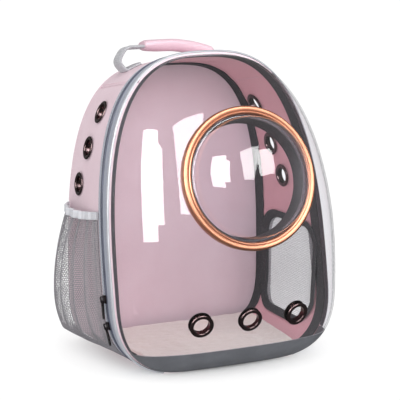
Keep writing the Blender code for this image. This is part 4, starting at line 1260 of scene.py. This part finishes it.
def grip_height(x):
    """Height of the handle's middle line. Worn soft, it droops to the right."""
    past = np.maximum((x - HANDLE_LEVEL) / (SLEEVE_HALF - HANDLE_LEVEL), 0.0)
    return HANDLE_TOP - SLEEVE_THICK / 2 - HANDLE_DROOP * past ** 1.5


def grip_line(reach, count):
    x = np.linspace(-reach, reach, count)
    return np.stack([x, np.full_like(x, HANDLE_Y), grip_height(x)], -1)


def handle_foot(side, end):
    """From the sewn tab, round an outward fold and up to the grip."""
    tab = [HANDLE_HALF - HANDLE_TAB * share for share in (1.0, 0.75, 0.5, 0.25, 0.0)]
    foot = [(side * x, HANDLE_Y, top_height(x) + WEBBING_THICK / 2 + TAB_SEAT) for x in tab]
    high = float(grip_height(side * HANDLE_HALF))
    fold = foot[-1][2] + (high - foot[-1][2]) * 0.4
    foot.append((side * (HANDLE_HALF + HANDLE_FOLD), HANDLE_Y, fold))
    foot.append((side * HANDLE_HALF, HANDLE_Y, high))
    return soften([*foot, end], 0.010)


def build_handle():
    """The carrying handle: doubled webbing folded up from its sewn tabs into a stuffed, drooping sleeve."""
    fall = (BACK["top"] - HEIGHT) / (BACK_Y - RIM_Y - RIM_LEAN * HEIGHT)
    across = (0.0, 1.0, fall)
    line = grip_line(SLEEVE_HALF + 0.012, 25)
    path = np.concatenate([handle_foot(-1, line[0])[:-1], line, handle_foot(1, line[-1])[-2::-1]])
    path = even_path(path, 0.002)
    webbing = flat_strap("handle_webbing", path, across, WEBBING_WIDE, 2 * WEBBING_THICK, WEBBING)
    dress(webbing, "fabric_grey", "handle_webbing")
    line = grip_line(SLEEVE_HALF + 0.003, 60) + np.array([0.0, 0.0, 0.0015])
    rings = pad_rings(line, across, SLEEVE_WIDE, SLEEVE_THICK + 0.002, 0.006)
    sleeve = stuffed("handle_sleeve", rings, SLEEVE_PINK, 0.0015)
    dress(sleeve, "leather_pink", "handle_sleeve")


def build_straps():
    """Two shoulder straps: a stuffed pad, a buckle, and webbing down to the base."""
    rear = BACK_Y + WALL + GAP
    for name, side in (("left", -1), ("right", 1)):
        x = side * STRAP_X
        low_x = side * (STRAP_X + STRAP_SPREAD)
        seat = rear + STRAP_THICK / 2
        upper = [
            (x, seat, STRAP_TOP), (x, seat + STRAP_OUT / 20, STRAP_TOP - 0.030),
            (x + side * 0.004, seat + STRAP_OUT * 0.75, STRAP_TOP - 0.075),
            (x + side * 0.012, seat + STRAP_OUT * 0.72, STRAP_END),
        ]
        path = soften(upper, 0.030)
        end, down = path[-1], unit(path[-1] - path[-2])
        rings = pad_rings(even_path(path, 0.004), (1, 0, 0), STRAP_WIDE - 0.002, STRAP_THICK - 0.002, 0.014)
        pad = stuffed("strap_pad_" + name, rings, PINK, 0.0012)
        dress(pad, "leather_pink", "strap_pad_" + name)
        seat = rear + WEBBING_THICK / 2
        lower = [
            end + down * (BUCKLE_LONG + 2 * GAP), end + down * (BUCKLE_LONG + 2 * GAP + 0.012),
            (low_x, seat + 0.012, 0.050), (low_x, seat, 0.036), (low_x, seat, 0.014),
        ]
        path = even_path(soften(lower, 0.012), 0.003)
        webbing = flat_strap("strap_webbing_" + name, path, (1, 0, 0), WEBBING_WIDE, WEBBING_THICK, WEBBING)
        dress(webbing, "fabric_grey", "strap_webbing_" + name)


def refinish(node, material, bevel):
    """Gives a solid that stays in view its real finish, and breaks its edges."""
    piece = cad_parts[node]
    piece.data.materials.clear()
    piece.data.materials.append(material)
    edges = piece.modifiers.new("broken edges", "BEVEL")
    edges.width = bevel
    edges.segments = 2
    edges.limit_method = "ANGLE"
    edges.harden_normals = True


def build_hardware():
    """The sliders, pulls and buckles keep their solids, and get their plating and moulded finish."""
    for which in ("upper", "lower"):
        refinish("zip_slider_" + which, BLACK_METAL, 0.0003)
        refinish("zip_pull_" + which, BLACK_METAL, 0.0003)
    for which in ("left", "right"):
        refinish("strap_buckle_" + which, CHARCOAL, 0.0006)


def place_camera():
    """The photo's viewpoint, from its outline and the ring."""
    data = bpy.data.cameras.new("camera")
    data.lens = CAMERA_LENS
    data.sensor_width = SENSOR
    data.clip_end = 50.0
    camera = bpy.data.objects.new("camera", data)
    camera.location = CAMERA_AT
    camera.rotation_euler = (CAMERA_AIM - CAMERA_AT).to_track_quat("-Z", "Y").to_euler()
    bpy.context.scene.collection.objects.link(camera)
    bpy.context.scene.camera = camera


def lamp(name, at, aim, size, power):
    """A square softbox."""
    data = bpy.data.lights.new(name, "AREA")
    data.shape = "RECTANGLE"
    data.size, data.size_y = size
    data.energy = power
    light = bpy.data.objects.new(name, data)
    light.location = at
    light.rotation_euler = (Vector(aim) - Vector(at)).to_track_quat("-Z", "Y").to_euler()
    light.visible_glossy = False
    bpy.context.scene.collection.objects.link(light)
    return light


def mirror_card(name, spots, ways, distance, strength):
    """A bright card that the clear plastic mirrors. Its corners are the mirror images of the highlight's."""
    eye = np.array(CAMERA_AT)
    toward = unit(eye - spots)
    ray = 2 * (toward * ways).sum(-1, keepdims=True) * ways - toward
    material = bpy.data.materials.new(name)
    material.use_nodes = True
    tree = material.node_tree
    glow = add(tree, "Emission", {"Color": WHITE, "Strength": strength})
    tree.links.new(glow.outputs[0], tree.nodes["Material Output"].inputs["Surface"])
    card = make_piece(name, spots + ray * distance, [list(range(len(spots)))], material)
    card.visible_camera = card.visible_diffuse = card.visible_shadow = False
    card.visible_transmission = False


def bubble_card(name, corners, distance, strength):
    """corners are (turn, lift) in degrees: round the bubble's axis from its right, and off that axis."""
    turn, lift = np.radians(np.array(corners)).T[..., None]
    rise = np.array([0.0, math.sin(RING_TILT), math.cos(RING_TILT)])
    right = np.array([1.0, 0.0, 0.0])
    around = right * np.cos(turn) + rise * np.sin(turn)
    spots = RING_AT + around * BUBBLE_RADIUS * np.sin(lift) + RING_AXIS * BUBBLE_HEIGHT * np.cos(lift)
    ways = unit(around * np.sin(lift) / BUBBLE_RADIUS + RING_AXIS * np.cos(lift) / BUBBLE_HEIGHT)
    mirror_card(name, spots, ways, distance, strength)


def shell_card(name, corners, distance, strength):
    """corners are (x, z) on the clear front."""
    x, z = np.array(corners).T
    mirror_card(name, shell_at(x, z), shell_out(x, z), distance, strength)


def light_stage():
    """A pale table under tall softboxes, in a room that is white to the camera."""
    world = bpy.data.worlds.new("studio")
    bpy.context.scene.world = world
    world.use_nodes = True
    tree = world.node_tree
    room = tree.nodes["Background"]
    room.inputs["Color"].default_value = WHITE
    room.inputs["Strength"].default_value = ROOM_LIGHT
    seen = add(tree, "Background", {"Color": WHITE, "Strength": WHITE_SEEN})
    mirrored = add(tree, "Background", {"Color": WHITE, "Strength": ROOM_MIRRORED})
    ray = add(tree, "LightPath").outputs
    lit = add(tree, "MixShader", {0: ray["Is Glossy Ray"], 1: room.outputs[0], 2: mirrored.outputs[0]})
    either = add(tree, "MixShader", {0: ray["Is Camera Ray"], 1: lit.outputs[0], 2: seen.outputs[0]})
    tree.links.new(either.outputs[0], tree.nodes["World Output"].inputs["Surface"])
    for row in LAMPS:
        lamp(*row)
    for row in SHELL_CARDS:
        shell_card(*row)
    for row in BUBBLE_CARDS:
        bubble_card(*row)
    lay_table()
    bpy.context.scene.view_settings.view_transform = "Standard"


def lay_table():
    """The table takes the contact shadow near the base, and goes over into the white room around it."""
    material, tree, shader = start_finish("matt white table", {"Roughness": 0.9})
    shader.inputs["Base Color"].default_value = linear("#F8F8F8")
    where = add(tree, "TexCoord").outputs["Object"]
    far = add(tree, "VectorMath", {0: where}, operation="LENGTH")
    fade = add(tree, "MapRange", {
        "Value": far.outputs["Value"], "From Min": SHADOW_FADES[0], "From Max": SHADOW_FADES[1],
    })
    white = add(tree, "Emission", {"Color": WHITE, "Strength": WHITE_SEEN})
    mixed = add(tree, "MixShader", {0: fade.outputs[0], 1: shader.outputs[0], 2: white.outputs[0]})
    dim = add(tree, "Emission", {"Color": WHITE, "Strength": TABLE_MIRRORED})
    glossy = add(tree, "LightPath").outputs["Is Glossy Ray"]
    shown = add(tree, "MixShader", {0: glossy, 1: mixed.outputs[0], 2: dim.outputs[0]})
    tree.links.new(shown.outputs[0], tree.nodes["Material Output"].inputs["Surface"])
    corners = [(-1, -1), (1, -1), (1, 1), (-1, 1)]
    points = [(x * TABLE_HALF, y * TABLE_HALF, -0.0003) for x, y in corners]
    make_piece("table", points, [[0, 1, 2, 3]], material)


build_gusset()
seam_rows()
build_rim()
build_mat()
build_shell()
build_lip()
build_bubble()
build_window()
build_pocket()
build_handle()
build_straps()
build_hardware()
place_camera()
light_stage()
